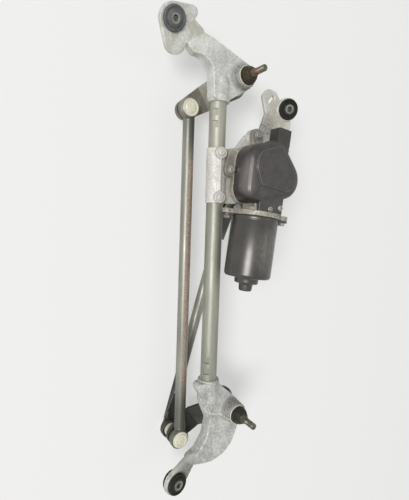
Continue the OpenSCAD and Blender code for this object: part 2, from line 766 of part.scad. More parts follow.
// Gear cover: a deep domed moulding with a raised panel, a tongue and the connector's base
tongue_screws = [[-42, -8], [-38, -24]];
tongue_top = cover_top - 1.5;
tongue_t = 7;
tongue_w = 38;
tongue_right = -28.5;
tongue_len = flange_x - 14;
module cover_form(inset, height, drop = 0) {
    hull() for (c = gear_lobes) translate([c.x, c.y, base_top - drop]) {
        for (turn = [0 : 30 : 90])
            cylinder(r = c.z - inset - cover_dome * (1 - cos(turn)),
                h = drop + height - cover_dome * (1 - sin(turn)), $fn = hull_fn);
    }
}
module panel_plan() {
    intersection() {
        offset(r = 3, $fn = hull_fn) offset(delta = -3)
            polygon([[14, 27], [-15, 12], [-18, -90], [60, -90], [60, 27]]);
        gear_plan(cover_dome + 0.6);
    }
}
module gear_cover() {
    color(cover_black) at_motor() difference() {
        union() {
            difference() {
                union() {
                    cover_form(0, cover_h);
                    translate([0, 0, cover_top - 1]) linear_extrude(panel_h + 1) panel_plan();
                    translate([connector_x - 8, connector_y - connector_w / 2, connector_z])
                        cube([8, connector_w, connector_h]);
                }
                cover_form(cover_wall, cover_h - cover_wall, 1);
            }
            difference() {
                translate([-flange_x + part_gap, tongue_right, tongue_top - tongue_t])
                    cube([tongue_len, tongue_w, tongue_t]);
                cover_form(cover_wall / 2, cover_h - cover_wall / 2);
            }
        }
        along_x(-flange_x - 1) cylinder(r = bearing_d / 2 + 4 + 0.4, h = flange_x - 20);
        translate([-flange_x + 1, -block_half - 0.4, base_top - 1])
            cube([flange_x + worm_end + end_bush_len, 2 * block_half + 0.8, block_half + 1.4 - base_top]);
        translate([connector_x, connector_y - connector_w / 2 - 0.1, connector_z - 0.1])
            cube([connector_len, connector_w + 0.2, connector_h + 0.2]);
        for (p = tongue_screws) translate([p.x, p.y, 0]) cylinder(d = m4_d + 0.4, h = cover_h);
    }
}
module cover_screws() {
    color(zinc) at_motor() for (p = tongue_screws) translate([p.x, p.y, 0]) {
        translate([0, 0, tongue_top]) cylinder(d = 2 * m4_d, h = screw_head_t);
        translate([0, 0, tongue_top - 9]) cylinder(d = m4_d - 1, h = 10);
    }
}

// Connector socket with its blade terminals
module connector_socket() {
    color(cover_black) at_motor() translate([connector_x, connector_y - connector_w / 2, connector_z])
        difference() {
            cube([connector_len, connector_w, connector_h]);
            translate([3, connector_wall, connector_wall])
                cube([connector_len, connector_w - 2 * connector_wall, connector_h - 2 * connector_wall]);
            for (y = terminal_ys) translate([-1, connector_w / 2 + y - 0.5, connector_h / 2 - 1.6])
                cube([5, 1, 3.2]);
        }
}
terminal_pitch = (connector_w - 2 * connector_wall) / terminal_count;
terminal_ys = [for (i = [0 : terminal_count - 1]) (i - (terminal_count - 1) / 2) * terminal_pitch];
module connector_terminals() {
    color(copper) at_motor() translate([connector_x, connector_y, connector_z + connector_h / 2])
        for (y = terminal_ys) translate([0.5, y - 0.4, -1.5]) cube([connector_len * 0.6, 0.8, 3]);
}

// Motor can with a stepped rear end, its bolts, and the bolts that hold the gearbox on the bracket
module motor_can() {
    r = can_d / 2;
    color(can_brown) at_motor() difference() {
        union() {
            along_x(can_back) cylinder(r = r, h = can_len);
            along_x(can_back - step_len) cylinder(d = step_d, h = step_len + 1);
            along_x(can_back - step_len - cup_len) cylinder(d1 = cup_d - 2, d2 = cup_d, h = cup_len + 1);
            at_can_bolts() translate([can_front - can_ear_t, 0, 0]) {
                along_x(0) cylinder(d = can_ear_d, h = can_ear_t);
                translate([0, 0, -can_ear_d / 2]) cube([can_ear_t, can_bolt_r - r + can_wall / 2, can_ear_d]);
            }
        }
        along_x(can_back + can_wall) cylinder(r = r - can_wall, h = can_len);
        along_x(can_back - step_len + can_wall) cylinder(d = step_d - 2 * can_wall, h = step_len);
        along_x(can_back - step_len - cup_len + can_wall)
            cylinder(d = rear_bush_d + 2 * press_clear, h = cup_len + 2);
        at_can_bolts() along_x(can_front - 4) cylinder(d = bolt_hole, h = 6);
    }
}
rear_bush_d = cup_d - 2 * can_wall - 2;
module rear_bush() {
    color(bronze) at_motor() along_x(can_back - step_len - cup_len + can_wall)
        ring(rear_bush_d, arm_shaft_d + 2 * run_clear, cup_len - can_wall);
}
module hex_bolt(shank) {
    cylinder(d = bolt_af / cos(30), h = bolt_head_t, $fn = 6);
    translate([0, 0, -shank]) cylinder(d = bolt_d, h = shank + 1);
}
module can_bolts() {
    color(zinc) at_motor() at_can_bolts() translate([can_front - can_ear_t, 0, 0]) rotate([0, -90, 0])
        hex_bolt(flange_t + 2);
}
module motor_mount_bolts() {
    color(zinc) at_mounts() translate([0, 0, housing_base_t - 1])
        hex_bolt(housing_base_t - 1 + mount_boss_h + bolt_grip);
}
module field_magnets() {
    inner = can_d / 2 - can_wall - press_clear - magnet_t;
    color("#3a3a3c") at_motor() along_x(can_back + can_wall + 12) for (turn = [0, 180])
        rotate([0, 0, turn - 60]) rotate_extrude(angle = 120) translate([inner, 0])
            square([magnet_t, magnet_len]);
}
brush_x = can_front - 6;
module brush_card() {
    color("#5b4a35") at_motor() along_x(brush_x) difference() {
        cylinder(d = can_d - 2 * can_wall - 2 * press_clear, h = 3);
        translate([0, 0, -1]) cylinder(d = commutator_d + 4, h = 5);
    }
}
module brushes() {
    color("#2b2b2b") at_motor() for (turn = [90, 270]) rotate([turn, 0, 0])
        translate([brush_x - 6, commutator_d / 2 + 0.1, -3]) cube([6, 9, 6]);
}
module front_bearing() {
    color(zinc) at_motor() along_x(can_front + flange_t - bearing_t)
        ring(bearing_d, arm_shaft_d + 2 * run_clear, bearing_t);
}
module worm_end_bush() {
    color(bronze) at_motor() along_x(worm_end) difference() {
        cylinder(d = 2 * worm_bore_r - 2 * press_clear, h = end_bush_len);
        translate([0, 0, -1]) cylinder(d = arm_shaft_d + 2 * run_clear, h = end_bush_len - 2);
    }
}
module output_bush() {
    bush_bore = output_d + 2 * run_clear;
    color(bronze) at_motor() translate([0, -centre_distance, -housing_floor - output_boss_len])
        ring(bush_bore + 2 * output_bush_wall, bush_bore, output_boss_len + housing_base_t - 1);
}

// Armature: shaft with its worm, core, windings and commutator
thread_half = axial_pitch * tooth_share / 2;
function thread_r(turn) = let (off = abs(turn - 180) / 360 * axial_pitch, half = thread_half)
    max(worm_r - dedendum, min(worm_r + addendum, worm_r + (half - off) / flank_slope));
module worm_thread() {
    rotate([0, 0, 90 + 180 * worm_turns])
        linear_extrude(worm_len, twist = -360 * worm_turns, slices = 12 * worm_turns, center = true, $fn = 18)
            polygon([for (turn = [0 : 20 : 340]) thread_r(turn) * [cos(turn), sin(turn)]]);
}
module armature_shaft() {
    rear = can_back - step_len - cup_len + can_wall + 0.5;
    front = worm_end + end_bush_len - 3.5;
    color(zinc) at_motor() {
        along_x(rear) cylinder(d = arm_shaft_d, h = -worm_len / 2 - rear);
        along_x(0) worm_thread();
        along_x(-worm_len) cylinder(r = worm_r - dedendum - 0.3, h = 2 * worm_len);
        along_x(worm_len / 2) cylinder(d = arm_shaft_d, h = front - worm_len / 2);
    }
}
core_x = can_back + can_wall + 17;
module armature_core() {
    color("#6d6a66") at_motor() along_x(core_x) difference() {
        cylinder(d = core_d, h = core_len);
        translate([0, 0, -1]) cylinder(d = arm_shaft_d + 2 * press_clear, h = core_len + 2);
        for (i = [0 : core_slots - 1]) rotate([0, 0, i * 360 / core_slots])
            translate([core_d / 2 - 8, -1.5, -1]) cube([10, 3, core_len + 2]);
    }
}
module armature_windings() {
    color(copper) at_motor() {
        along_x(core_x - 8) ring(core_d - 8, arm_shaft_d + 2 * press_clear, 8);
        along_x(core_x + core_len) ring(core_d - 8, arm_shaft_d + 2 * press_clear, 6);
    }
}
module commutator() {
    color(copper) at_motor() along_x(brush_x - 8) difference() {
        cylinder(d = commutator_d, h = commutator_len);
        translate([0, 0, -1]) cylinder(d = arm_shaft_d + 2 * press_clear, h = commutator_len + 2);
    }
}

// Crank: worm wheel, output shaft, arm, nut and stud
module wheel_plan() {
    step = 360 / wheel_teeth;
    root = pitch_r - dedendum;
    half_root = (thread_half + dedendum * flank_slope) / root * 180 / PI;
    half_tip = (thread_half - addendum * flank_slope) / wheel_tip_r * 180 / PI;
    polygon([for (i = [0 : wheel_teeth - 1]) for (corner = [[root, -half_root], [wheel_tip_r, -half_tip],
        [wheel_tip_r, half_tip], [root, half_root]])
        corner[0] * [cos(i * step + corner[1]), sin(i * step + corner[1])]]);
}
module worm_wheel() {
    twist = wheel_w * tan(lead_angle) / pitch_r * 180 / PI;
    color(nylon_cream) at_motor() translate([0, -centre_distance, 0]) rotate([0, 0, 90 + 180 / wheel_teeth])
        difference() {
            union() {
                translate([0, 0, -wheel_w / 2]) rotate([0, 0, -twist / 2])
                    linear_extrude(wheel_w, twist = -twist, slices = 2) wheel_plan();
                translate([0, 0, base_top + 0.4]) cylinder(r = output_d, h = wheel_w / 2 + 2 - base_top);
            }
            translate([0, 0, -housing_floor]) cylinder(d = output_d + 2 * press_clear, h = 2 * housing_floor);
        }
}
module output_shaft() {
    color(zinc) at_motor() translate([0, -centre_distance, 0]) {
        translate([0, 0, loop_z + motor_drop + 0.4])
            cylinder(d = output_d, h = wheel_w / 2 + 4 - loop_z - motor_drop - 0.4);
    }
}
module crank_plan() {
    hull() {
        circle(r = crank_hub_r, $fn = hull_fn);
        translate([crank_len, 0]) circle(r = crank_tip_r, $fn = hull_fn);
    }
}
module at_crank() { translate([output_x, output_y, 0]) rotate([0, 0, crank_rest]) children(); }
module crank_arm() {
    color(lever_black) at_crank() translate([0, 0, crank_bottom]) difference() {
        union() {
            linear_extrude(crank_t) crank_plan();
            cylinder(r = crank_hub_r - 2, h = crank_t + 3);
        }
        translate([0, 0, -1]) cylinder(d = output_d + 2 * press_clear, h = crank_t + 6);
        translate([crank_len, 0, -1]) cylinder(d = neck_d + 2 * press_clear, h = crank_t + 2);
    }
}
module crank_nut() {
    color(zinc) translate([output_x, output_y, crank_bottom - nut_t]) difference() {
        cylinder(d = nut_af / cos(30), h = nut_t, $fn = 6);
        translate([0, 0, -1]) cylinder(d = output_d + 2 * press_clear, h = nut_t + 2);
    }
}
module crank_stud() {
    color(zinc) at_crank_tip() {
        translate([0, 0, loop_z]) cylinder(d = neck_d, h = crank_bottom + crank_t - loop_z + 1);
        translate([0, 0, crank_bottom - 1.5]) cylinder(d = neck_d + 5, h = 1.5);
        translate([0, 0, crank_bottom + crank_t]) cylinder(d = neck_d + 5, h = 2);
    }
}

// Rockers: pivot shaft, joggled lever, ball stud, washers and dust cap
module pivot_shaft(seat_drop) {
    top = -seat_drop;
    color(zinc) {
        translate([0, 0, hub_top]) cylinder(d = shaft_d, h = top - cone_len - hub_top);
        translate([0, 0, top - cone_len]) cylinder(d1 = shaft_d, d2 = thread_d + 0.6, h = cone_len);
        translate([0, 0, top - 1]) cylinder(d = thread_d, h = thread_len + 1);
        translate([0, 0, hub_top - lever_t - 1]) cylinder(d = rivet_d, h = lever_t + 2);
        translate([0, 0, hub_top - lever_t - rivet_head_t]) cylinder(d = rivet_head_d, h = rivet_head_t);
    }
}
module lever_side() {
    far = lever_len + lever_tip_r + 1;
    near = -lever_hub_r - 1;
    lean = lever_t * (norm([lever_joggle, joggle_run]) - joggle_run) / lever_joggle;
    polygon([[near, hub_top], [joggle_start, hub_top], [joggle_start + joggle_run, tip_top], [far, tip_top],
        [far, tip_bottom], [joggle_start + joggle_run - lean, tip_bottom],
        [joggle_start - lean, hub_top - lever_t], [near, hub_top - lever_t]]);
}
module lever() {
    color(lever_black) rotate([0, 0, lever_rest]) difference() {
        intersection() {
            translate([0, 0, tip_bottom - 1]) linear_extrude(lever_joggle + lever_t + 2) hull() {
                circle(r = lever_hub_r, $fn = hull_fn);
                translate([lever_len, 0]) circle(r = lever_tip_r, $fn = hull_fn);
            }
            rotate([90, 0, 0]) translate([0, 0, -lever_hub_r - 1])
                linear_extrude(2 * lever_hub_r + 2) lever_side();
        }
        translate([0, 0, hub_top - lever_t - 1]) cylinder(d = rivet_d + 2 * press_clear, h = lever_t + 2);
        translate([lever_len, 0, tip_bottom - 1]) cylinder(d = neck_d + 2 * press_clear, h = lever_t + 2);
    }
}
module ball_stud(below) {
    foot = below ? drive_ball_z : tip_bottom - rivet_head_t;
    color(zinc) at_lever_tip() {
        translate([0, 0, foot]) cylinder(d = neck_d, h = link_ball_z - foot);
        translate([0, 0, link_ball_z]) sphere(d = ball_d);
        translate([0, 0, tip_top]) cylinder(d = neck_d + 4, h = 1);
        if (below) {
            translate([0, 0, drive_ball_z]) sphere(d = ball_d);
            translate([0, 0, tip_bottom - 1.5]) cylinder(d = neck_d + 5, h = 1.5);
        } else translate([0, 0, foot]) cylinder(d = neck_d + 5, h = rivet_head_t);
    }
}
module thrust_washer() {
    color(nylon_cream) translate([0, 0, hub_top]) ring(washer_d, shaft_d + 2 * press_clear, washer_t);
}
module retaining_washer(top_drop) {
    color(zinc) translate([0, 0, -top_drop + axial_play])
        ring(retainer_d, shaft_d + 2 * press_clear, retainer_t);
}
module dust_cap(top_drop, seat_drop) {
    foot = -top_drop + axial_play + retainer_t;
    neck = -seat_drop - cone_len + 1;
    r = dust_cap_d / 2;
    grip = shaft_d / 2 + press_clear;
    color("#3b382c") rotate_extrude() polygon([[r, foot], [r, foot + (neck - foot) * 0.45],
        [grip + dust_cap_wall, neck - 0.5], [grip + dust_cap_wall, neck], [grip, neck],
        [grip, neck - 2], [r - dust_cap_wall, foot + (neck - foot) * 0.35], [r - dust_cap_wall, foot]]);
}
module left_pivot_shaft() { pivot_shaft(0); }
module left_lever() { lever(); }
module left_ball_stud() { ball_stud(true); }
module left_thrust_washer() { thrust_washer(); }
module left_retaining_washer() { retaining_washer(left_boss_drop); }
module left_dust_cap() { dust_cap(left_boss_drop, 0); }
module right_pivot_shaft() { at_right() pivot_shaft(right_seat_drop); }
module right_lever() { at_right() lever(); }
module right_ball_stud() { at_right() ball_stud(false); }
module right_thrust_washer() { at_right() thrust_washer(); }
module right_retaining_washer() { at_right() retaining_washer(right_boss_drop); }
module right_dust_cap() { at_right() dust_cap(right_boss_drop, right_seat_drop); }

// Nylon sockets, drawn mouth down with the ball's centre at zero
module socket() {
    color(nylon_cream) difference() {
        union() {
            translate([0, 0, -socket_mouth]) cylinder(d = socket_d, h = socket_mouth + socket_crown - 2);
            translate([0, 0, socket_crown - 2]) cylinder(d1 = socket_d, d2 = socket_d - 6, h = 2);
            translate([0, 0, socket_crown - 2 - socket_lip_t]) cylinder(d = socket_lip_d, h = socket_lip_t);
        }
        sphere(d = ball_d + 2 * ball_clear);
        translate([0, 0, -socket_mouth - 1]) cylinder(r = socket_throat_r, h = socket_mouth + 1);
    }
}
socket_throat_r = sqrt(pow(ball_d / 2 + ball_clear, 2) - pow(socket_mouth, 2)) + 0.4;
eye_outer_r = socket_d / 2 + rod_eye_wall;
lip_under = socket_crown - 2 - socket_lip_t;
channel_sink = 0.5;
module rod_eye() { translate([0, 0, lip_under - rod_eye_h]) cylinder(r = eye_outer_r, h = rod_eye_h); }
module rod_eye_hole() {
    translate([0, 0, lip_under - 2 * rod_eye_h]) cylinder(d = socket_d + 2 * press_clear, h = 3 * rod_eye_h);
}
module channel(w, h, length) {
    along_x(0) difference() {
        union() {
            cylinder(d = w, h = length);
            translate([0, -w / 2, 0]) cube([h - w / 2, w, length]);
        }
        translate([0, 0, -1]) {
            cylinder(d = w - 2 * rod_wall, h = length + 2);
            translate([0, -w / 2 + rod_wall, 0]) cube([h, w - 2 * rod_wall, length + 2]);
            translate([h - w / 2, -w, 0]) cube([w, 2 * w, length + 2]);
        }
    }
}
module link_rod() {
    color(rod_grey) translate([lever_tip.x, lever_tip.y, link_ball_z]) difference() {
        union() {
            rod_eye();
            translate([pivot_spacing, 0, 0]) rod_eye();
            translate([0, -link_set, lip_under - channel_sink - link_w / 2])
                channel(link_w, link_h, pivot_spacing);
        }
        rod_eye_hole();
        translate([pivot_spacing, 0, 0]) rod_eye_hole();
    }
}
module link_left_socket() { translate([lever_tip.x, lever_tip.y, link_ball_z]) socket(); }
module link_right_socket() { translate([lever_tip.x + pivot_spacing, lever_tip.y, link_ball_z]) socket(); }

// Drive rod under the levers, its sockets mouth up
module at_drive() {
    translate([lever_tip.x, lever_tip.y, drive_ball_z]) rotate([0, 0, drive_heading]) children();
}
module flare_plan() {
    hull() {
        circle(r = eye_outer_r - part_gap, $fn = hull_fn);
        translate([flare_len, -drive_w / 2]) square([1, drive_w]);
    }
}
module drive_rod() {
    color(lever_black) at_drive() difference() {
        union() {
            for (x = [0, drive_len]) translate([x, 0, 0]) mirror([0, 0, 1]) rod_eye();
            translate([0, 0, -lip_under]) linear_extrude(rod_wall) flare_plan();
            translate([drive_len, 0, -lip_under]) mirror([1, 0, 0]) linear_extrude(rod_wall) flare_plan();
            translate([0, 0, rod_wall - lip_under - channel_sink - drive_w / 2])
                channel(drive_w, drive_h, drive_len);
        }
        for (x = [0, drive_len]) translate([x, 0, 0]) mirror([0, 0, 1]) {
            rod_eye_hole();
            translate([0, 0, lip_under]) cylinder(d = socket_lip_d + 2 * slide_clear, h = 2 * rod_eye_h);
        }
        translate([0, 0, -2 * drive_h]) linear_extrude(4 * drive_h)
            polygon([[13, 10.2], [34, 8.1], [13, 8.1]]);
    }
}
module drive_lever_socket() { at_drive() mirror([0, 0, 1]) socket(); }
module drive_crank_socket() { at_drive() translate([drive_len, 0, 0]) mirror([0, 0, 1]) socket(); }
module crank_ball() {
    color(zinc) at_crank_tip() translate([0, 0, drive_ball_z]) difference() {
        sphere(d = ball_d);
        translate([0, 0, ball_neck]) cylinder(d = 2 * ball_d, h = ball_d);
    }
}

frame_tube();
left_pivot_housing();
right_pivot_housing();
motor_bracket();
saddle_screws();
left_grommet();
right_grommet();
motor_grommet();
left_grommet_sleeve();
right_grommet_sleeve();
motor_grommet_sleeve();
left_pivot_bushes();
right_pivot_bushes();
gear_housing();
gear_cover();
cover_screws();
connector_socket();
connector_terminals();
motor_can();
can_bolts();
motor_mount_bolts();
field_magnets();
brush_card();
brushes();
front_bearing();
rear_bush();
worm_end_bush();
output_bush();
armature_shaft();
armature_core();
armature_windings();
commutator();
worm_wheel();
output_shaft();
crank_arm();
crank_nut();
crank_stud();
left_pivot_shaft();
left_lever();
left_ball_stud();
left_thrust_washer();
left_retaining_washer();
left_dust_cap();
right_pivot_shaft();
right_lever();
right_ball_stud();
right_thrust_washer();
right_retaining_washer();
right_dust_cap();
link_rod();
link_left_socket();
link_right_socket();
drive_rod();
drive_lever_socket();
drive_crank_socket();
crank_ball();
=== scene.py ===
# %% [markdown]
# # A wiper linkage, dressed for its photograph
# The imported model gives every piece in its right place, in metres, and stays as it is. This lesson
# softens the castings, turns the small round pieces, and gives each surface the finish that years
# under a windscreen leave on it.

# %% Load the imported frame
import json
import math

import bmesh
import bpy
from mathutils import Matrix, Vector

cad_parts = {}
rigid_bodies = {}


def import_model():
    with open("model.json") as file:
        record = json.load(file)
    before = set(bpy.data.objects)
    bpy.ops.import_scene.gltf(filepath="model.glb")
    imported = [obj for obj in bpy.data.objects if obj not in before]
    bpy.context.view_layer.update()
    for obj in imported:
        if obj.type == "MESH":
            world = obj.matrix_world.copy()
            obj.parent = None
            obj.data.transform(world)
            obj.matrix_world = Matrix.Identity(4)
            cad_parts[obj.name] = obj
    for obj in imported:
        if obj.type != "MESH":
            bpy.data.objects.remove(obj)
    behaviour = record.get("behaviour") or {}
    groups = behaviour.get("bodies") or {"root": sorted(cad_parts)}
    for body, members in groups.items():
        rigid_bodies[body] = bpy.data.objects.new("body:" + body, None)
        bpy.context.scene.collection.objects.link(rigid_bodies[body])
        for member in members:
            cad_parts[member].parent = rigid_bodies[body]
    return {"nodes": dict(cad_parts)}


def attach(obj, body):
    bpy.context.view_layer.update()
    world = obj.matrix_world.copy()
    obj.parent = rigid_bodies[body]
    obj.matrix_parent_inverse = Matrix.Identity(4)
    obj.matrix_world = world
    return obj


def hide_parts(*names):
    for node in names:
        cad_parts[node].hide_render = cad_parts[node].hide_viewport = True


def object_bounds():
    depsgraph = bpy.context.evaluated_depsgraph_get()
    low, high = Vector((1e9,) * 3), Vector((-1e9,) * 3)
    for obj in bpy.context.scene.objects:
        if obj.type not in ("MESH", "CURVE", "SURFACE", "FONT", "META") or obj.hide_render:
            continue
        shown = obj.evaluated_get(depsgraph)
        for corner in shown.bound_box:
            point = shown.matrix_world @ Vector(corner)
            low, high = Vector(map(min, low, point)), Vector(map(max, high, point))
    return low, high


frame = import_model()
nodes = frame["nodes"]
cad_box = [list(corner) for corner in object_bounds()]
mm = 0.001
print("nodes:", len(nodes), "box:", [[round(v, 4) for v in corner] for corner in cad_box])

# %% [markdown]
# ## The camera
# The photograph was taken from about half a metre, looking down and a little along the levers, so the
# pivots lean outwards in the picture. Its place and axes were worked out from the picture's known
# points. A camera looks along its own -Z, so the three columns of its matrix are right, up and back.

# %% Camera
camera_right = Vector((0.034350, -0.856635, 0.514779))
camera_up = Vector((0.995641, -0.015362, -0.092000))
camera_back = camera_right.cross(camera_up)
bpy.ops.object.camera_add()
camera = bpy.context.object
camera.name = "photo_camera"
turn = Matrix((camera_right, camera_up, camera_back)).transposed().to_4x4()
camera.matrix_world = Matrix.Translation((0.261356, 0.296760, 0.371183)) @ turn
camera.data.sensor_width = 36
camera.data.lens = 27.36
camera.data.clip_start = 0.01
bpy.context.scene.camera = camera
print("camera at", [round(v, 3) for v in camera.location])

# %% [markdown]
# ## Floor and light
# The part lies on plain pale board. In the photograph the bright line on the tube, the can and the
# rods runs a little to the left of their middles, so the light comes from the camera's side: one
# large lamp hangs there, lower than the camera looks down, and a much weaker one evens out the far
# side. A pale world lights the rest. It is brighter for rays that the camera or a glossy surface
# sends, so that bare metal mirrors the pale room. For the same rays the board glows by half, which
# keeps the shadow as faint as it is in the photograph and puts no more light on the part.

# %% Colours, as they look on screen, and levels
def tone(red, green, blue):
    """A colour as the screen shows it, 0 to 255, as the shader wants it."""
    parts = [v / 255 for v in (red, green, blue)]
    return [v / 12.92 if v <= 0.04045 else ((v + 0.055) / 1.055) ** 2.4 for v in parts] + [1.0]

def rise(tree, value, low, high, to_low=0.0, to_high=1.0):
    """A number carried from low..high to another range, and held at its ends."""
    node = tree.nodes.new("ShaderNodeMapRange")
    for socket, number in zip(node.inputs[1:5], (low, high, to_low, to_high)):
        socket.default_value = number
    tree.links.new(value, node.inputs[0])
    return node.outputs[0]

def seen_directly(tree):
    """1 for rays that the camera, a gloss or a clear surface sends, and 0 for the light's own."""
    rays = tree.nodes.new("ShaderNodeLightPath")
    seen = rays.outputs["Is Camera Ray"]
    for kind in ("Is Glossy Ray", "Is Transmission Ray"):
        either = tree.nodes.new("ShaderNodeMath")
        either.operation = "MAXIMUM"
        tree.links.new(seen, either.inputs[0])
        tree.links.new(rays.outputs[kind], either.inputs[1])
        seen = either.outputs[0]
    return seen

print("white is", tone(255, 255, 255))

# %% Floor
def deselect():
    """Leaves nothing selected, so that an operator acts on new things only."""
    bpy.ops.object.select_all(action="DESELECT")

deselect()
floor_z = cad_box[0][2] - 0.5 * mm
bpy.ops.mesh.primitive_plane_add(size=6, location=(0.25, 0.05, floor_z))
floor = bpy.context.object
floor.name = "floor"
paper = bpy.data.materials.new("pale_board")
paper.use_nodes = True
board = paper.node_tree
board_colour = tone(242, 242, 241)
board_glow_share = 0.5
paper_shader = board.nodes["Principled BSDF"]
paper_shader.inputs["Base Color"].default_value = board_colour
paper_shader.inputs["Roughness"].default_value = 0.9
paper_shader.inputs["Specular IOR Level"].default_value = 0.1
paper_glow = board.nodes.new("ShaderNodeEmission")
paper_glow.inputs["Color"].default_value = board_colour
paper_blend = board.nodes.new("ShaderNodeMixShader")
board.links.new(rise(board, seen_directly(board), 0, 1, 0.0, board_glow_share), paper_blend.inputs[0])
board.links.new(paper_shader.outputs[0], paper_blend.inputs[1])
board.links.new(paper_glow.outputs[0], paper_blend.inputs[2])
board.links.new(paper_blend.outputs[0], board.nodes["Material Output"].inputs["Surface"])
floor.data.materials.append(paper)
print("floor at", round(floor_z, 4))

# %% Lamps
def soft_lamp(name, place, aim, size, power):
    """A square area lamp that points at aim."""
    bpy.ops.object.light_add(type="AREA", location=place)
    lamp = bpy.context.object
    lamp.name = name
    lamp.rotation_euler = (Vector(aim) - Vector(place)).to_track_quat("-Z", "Y").to_euler()
    lamp.data.size = size
    lamp.data.energy = power

part_middle = (0.22, 0.02, -0.05)
far_board = (0.25, -0.80, -0.1)
soft_lamp("camera_side_light", (0.28, 4.40, 4.80), part_middle, 2.4, 335)
soft_lamp("far_side_light", (0.30, -1.50, 2.40), far_board, 1.2, 3)

# %% World
light_level = 0.34
seen_level = 0.85
world = bpy.context.scene.world or bpy.data.worlds.new("room")
bpy.context.scene.world = world
world.use_nodes = True
room = world.node_tree
sky = room.nodes["Background"]
strength = rise(room, seen_directly(room), 0, 1, light_level, seen_level)
room.links.new(strength, sky.inputs["Strength"])
sky.inputs["Color"].default_value = (1.0, 1.0, 0.99, 1.0)
bpy.context.scene.view_settings.view_transform = "Standard"
print("world lights at", light_level, "and is seen at", seen_level)

# %% [markdown]
# ## A small kit for finishes
# Every finish starts from one shader and a few noises on Object coordinates. The objects sit at the
# origin, so these coordinates are plain metres in the part's own frame: a noise of scale 100 has
# blotches about 10 mm across. Colour ramps turn a noise into tones, a mask blends two of them, and a
# fine noise drives the bump.

# %% Node helpers
def start_finish(name, metallic=0.0, specular=0.5):
    """A new material with its shader and its Object coordinates."""
    material = bpy.data.materials.new(name)
    material.use_nodes = True
    tree = material.node_tree
    shader = tree.nodes["Principled BSDF"]
    shader.inputs["Metallic"].default_value = metallic
    shader.inputs["Specular IOR Level"].default_value = specular
    place = tree.nodes.new("ShaderNodeTexCoord").outputs["Object"]
    return material, tree, shader, place

def noise(tree, place, scale, detail=4.0, stretch=None, harsh=0.6):
    """A noise from 0 to 1, stretched by a factor on each axis if asked."""
    if stretch:
        mapping = tree.nodes.new("ShaderNodeMapping")
        mapping.inputs["Scale"].default_value = stretch
        tree.links.new(place, mapping.inputs["Vector"])
        place = mapping.outputs["Vector"]
    node = tree.nodes.new("ShaderNodeTexNoise")
    node.inputs["Scale"].default_value = scale
    node.inputs["Detail"].default_value = detail
    node.inputs["Roughness"].default_value = harsh
    tree.links.new(place, node.inputs["Vector"])
    return node.outputs[0]

def tones(tree, value, stops):
    """A colour ramp through (position, colour) stops."""
    node = tree.nodes.new("ShaderNodeValToRGB")
    ends = node.color_ramp.elements
    while len(ends) < len(stops):
        ends.new(0.5)
    for end, (position, colour) in zip(ends, stops):
        end.position = position
        end.color = colour
    tree.links.new(value, node.inputs[0])
    return node.outputs[0]

def both(tree, one, other, operation="MULTIPLY"):
    """Two numbers joined, by multiplying them or as asked."""
    node = tree.nodes.new("ShaderNodeMath")
    node.operation = operation
    tree.links.new(one, node.inputs[0])
    tree.links.new(other, node.inputs[1])
    return node.outputs[0]

def laid_over(tree, mask, under, over):
    """A colour laid over another where the mask is 1. A plain colour may be given for either."""
    node = tree.nodes.new("ShaderNodeMix")
    node.data_type = "RGBA"
    tree.links.new(mask, node.inputs[0])
    for socket, colour in ((node.inputs[6], under), (node.inputs[7], over)):
        if isinstance(colour, list):
            socket.default_value = colour
        else:
            tree.links.new(colour, socket)
    return node.outputs[2]

def near(tree, place, centre, reach, fade):
    """A mask that is 1 within reach of a point and 0 beyond reach plus fade, in millimetres."""
    node = tree.nodes.new("ShaderNodeVectorMath")
    node.operation = "DISTANCE"
    tree.links.new(place, node.inputs[0])
    node.inputs[1].default_value = [v * mm for v in centre]
    return rise(tree, node.outputs["Value"], reach * mm, (reach + fade) * mm, 1.0, 0.0)

def along(tree, place, axis):
    """One of the three coordinates, 0 for X, in metres."""
    node = tree.nodes.new("ShaderNodeSeparateXYZ")
    tree.links.new(place, node.inputs[0])
    return node.outputs[axis]

def edges(tree, low, high, to_low=0.0, to_high=1.0):
    """A mask from how sharp the surface is: over 0.5 on outer edges, under 0.5 in corners."""
    pointed = tree.nodes.new("ShaderNodeNewGeometry").outputs["Pointiness"]
    return rise(tree, pointed, low, high, to_low, to_high)

def beside(tree, place, normal, offset, width):
    """A mask that is 1 on a plane and 0 beyond a width, in millimetres."""
    node = tree.nodes.new("ShaderNodeVectorMath")
    node.operation = "DOT_PRODUCT"
    tree.links.new(place, node.inputs[0])
    node.inputs[1].default_value = normal
    gap = tree.nodes.new("ShaderNodeMath")
    gap.operation = "SUBTRACT"
    gap.inputs[1].default_value = offset * mm
    tree.links.new(node.outputs["Value"], gap.inputs[0])
    size = tree.nodes.new("ShaderNodeMath")
    size.operation = "ABSOLUTE"
    tree.links.new(gap.outputs[0], size.inputs[0])
    return rise(tree, size.outputs[0], 0.0, width * mm, 1.0, 0.0)

def end_finish(tree, shader, colour, roughness, grain=None, depth=0.2, lift=0.3):
    """Joins the finish: colour, roughness and, where there is a grain, its bump."""
    tree.links.new(colour, shader.inputs["Base Color"])
    tree.links.new(roughness, shader.inputs["Roughness"])
    if grain is not None:
        bump = tree.nodes.new("ShaderNodeBump")
        bump.inputs["Strength"].default_value = lift
        bump.inputs["Distance"].default_value = depth * mm
        tree.links.new(grain, bump.inputs["Height"])
        tree.links.new(bump.outputs[0], shader.inputs["Normal"])

print("node helpers ready")
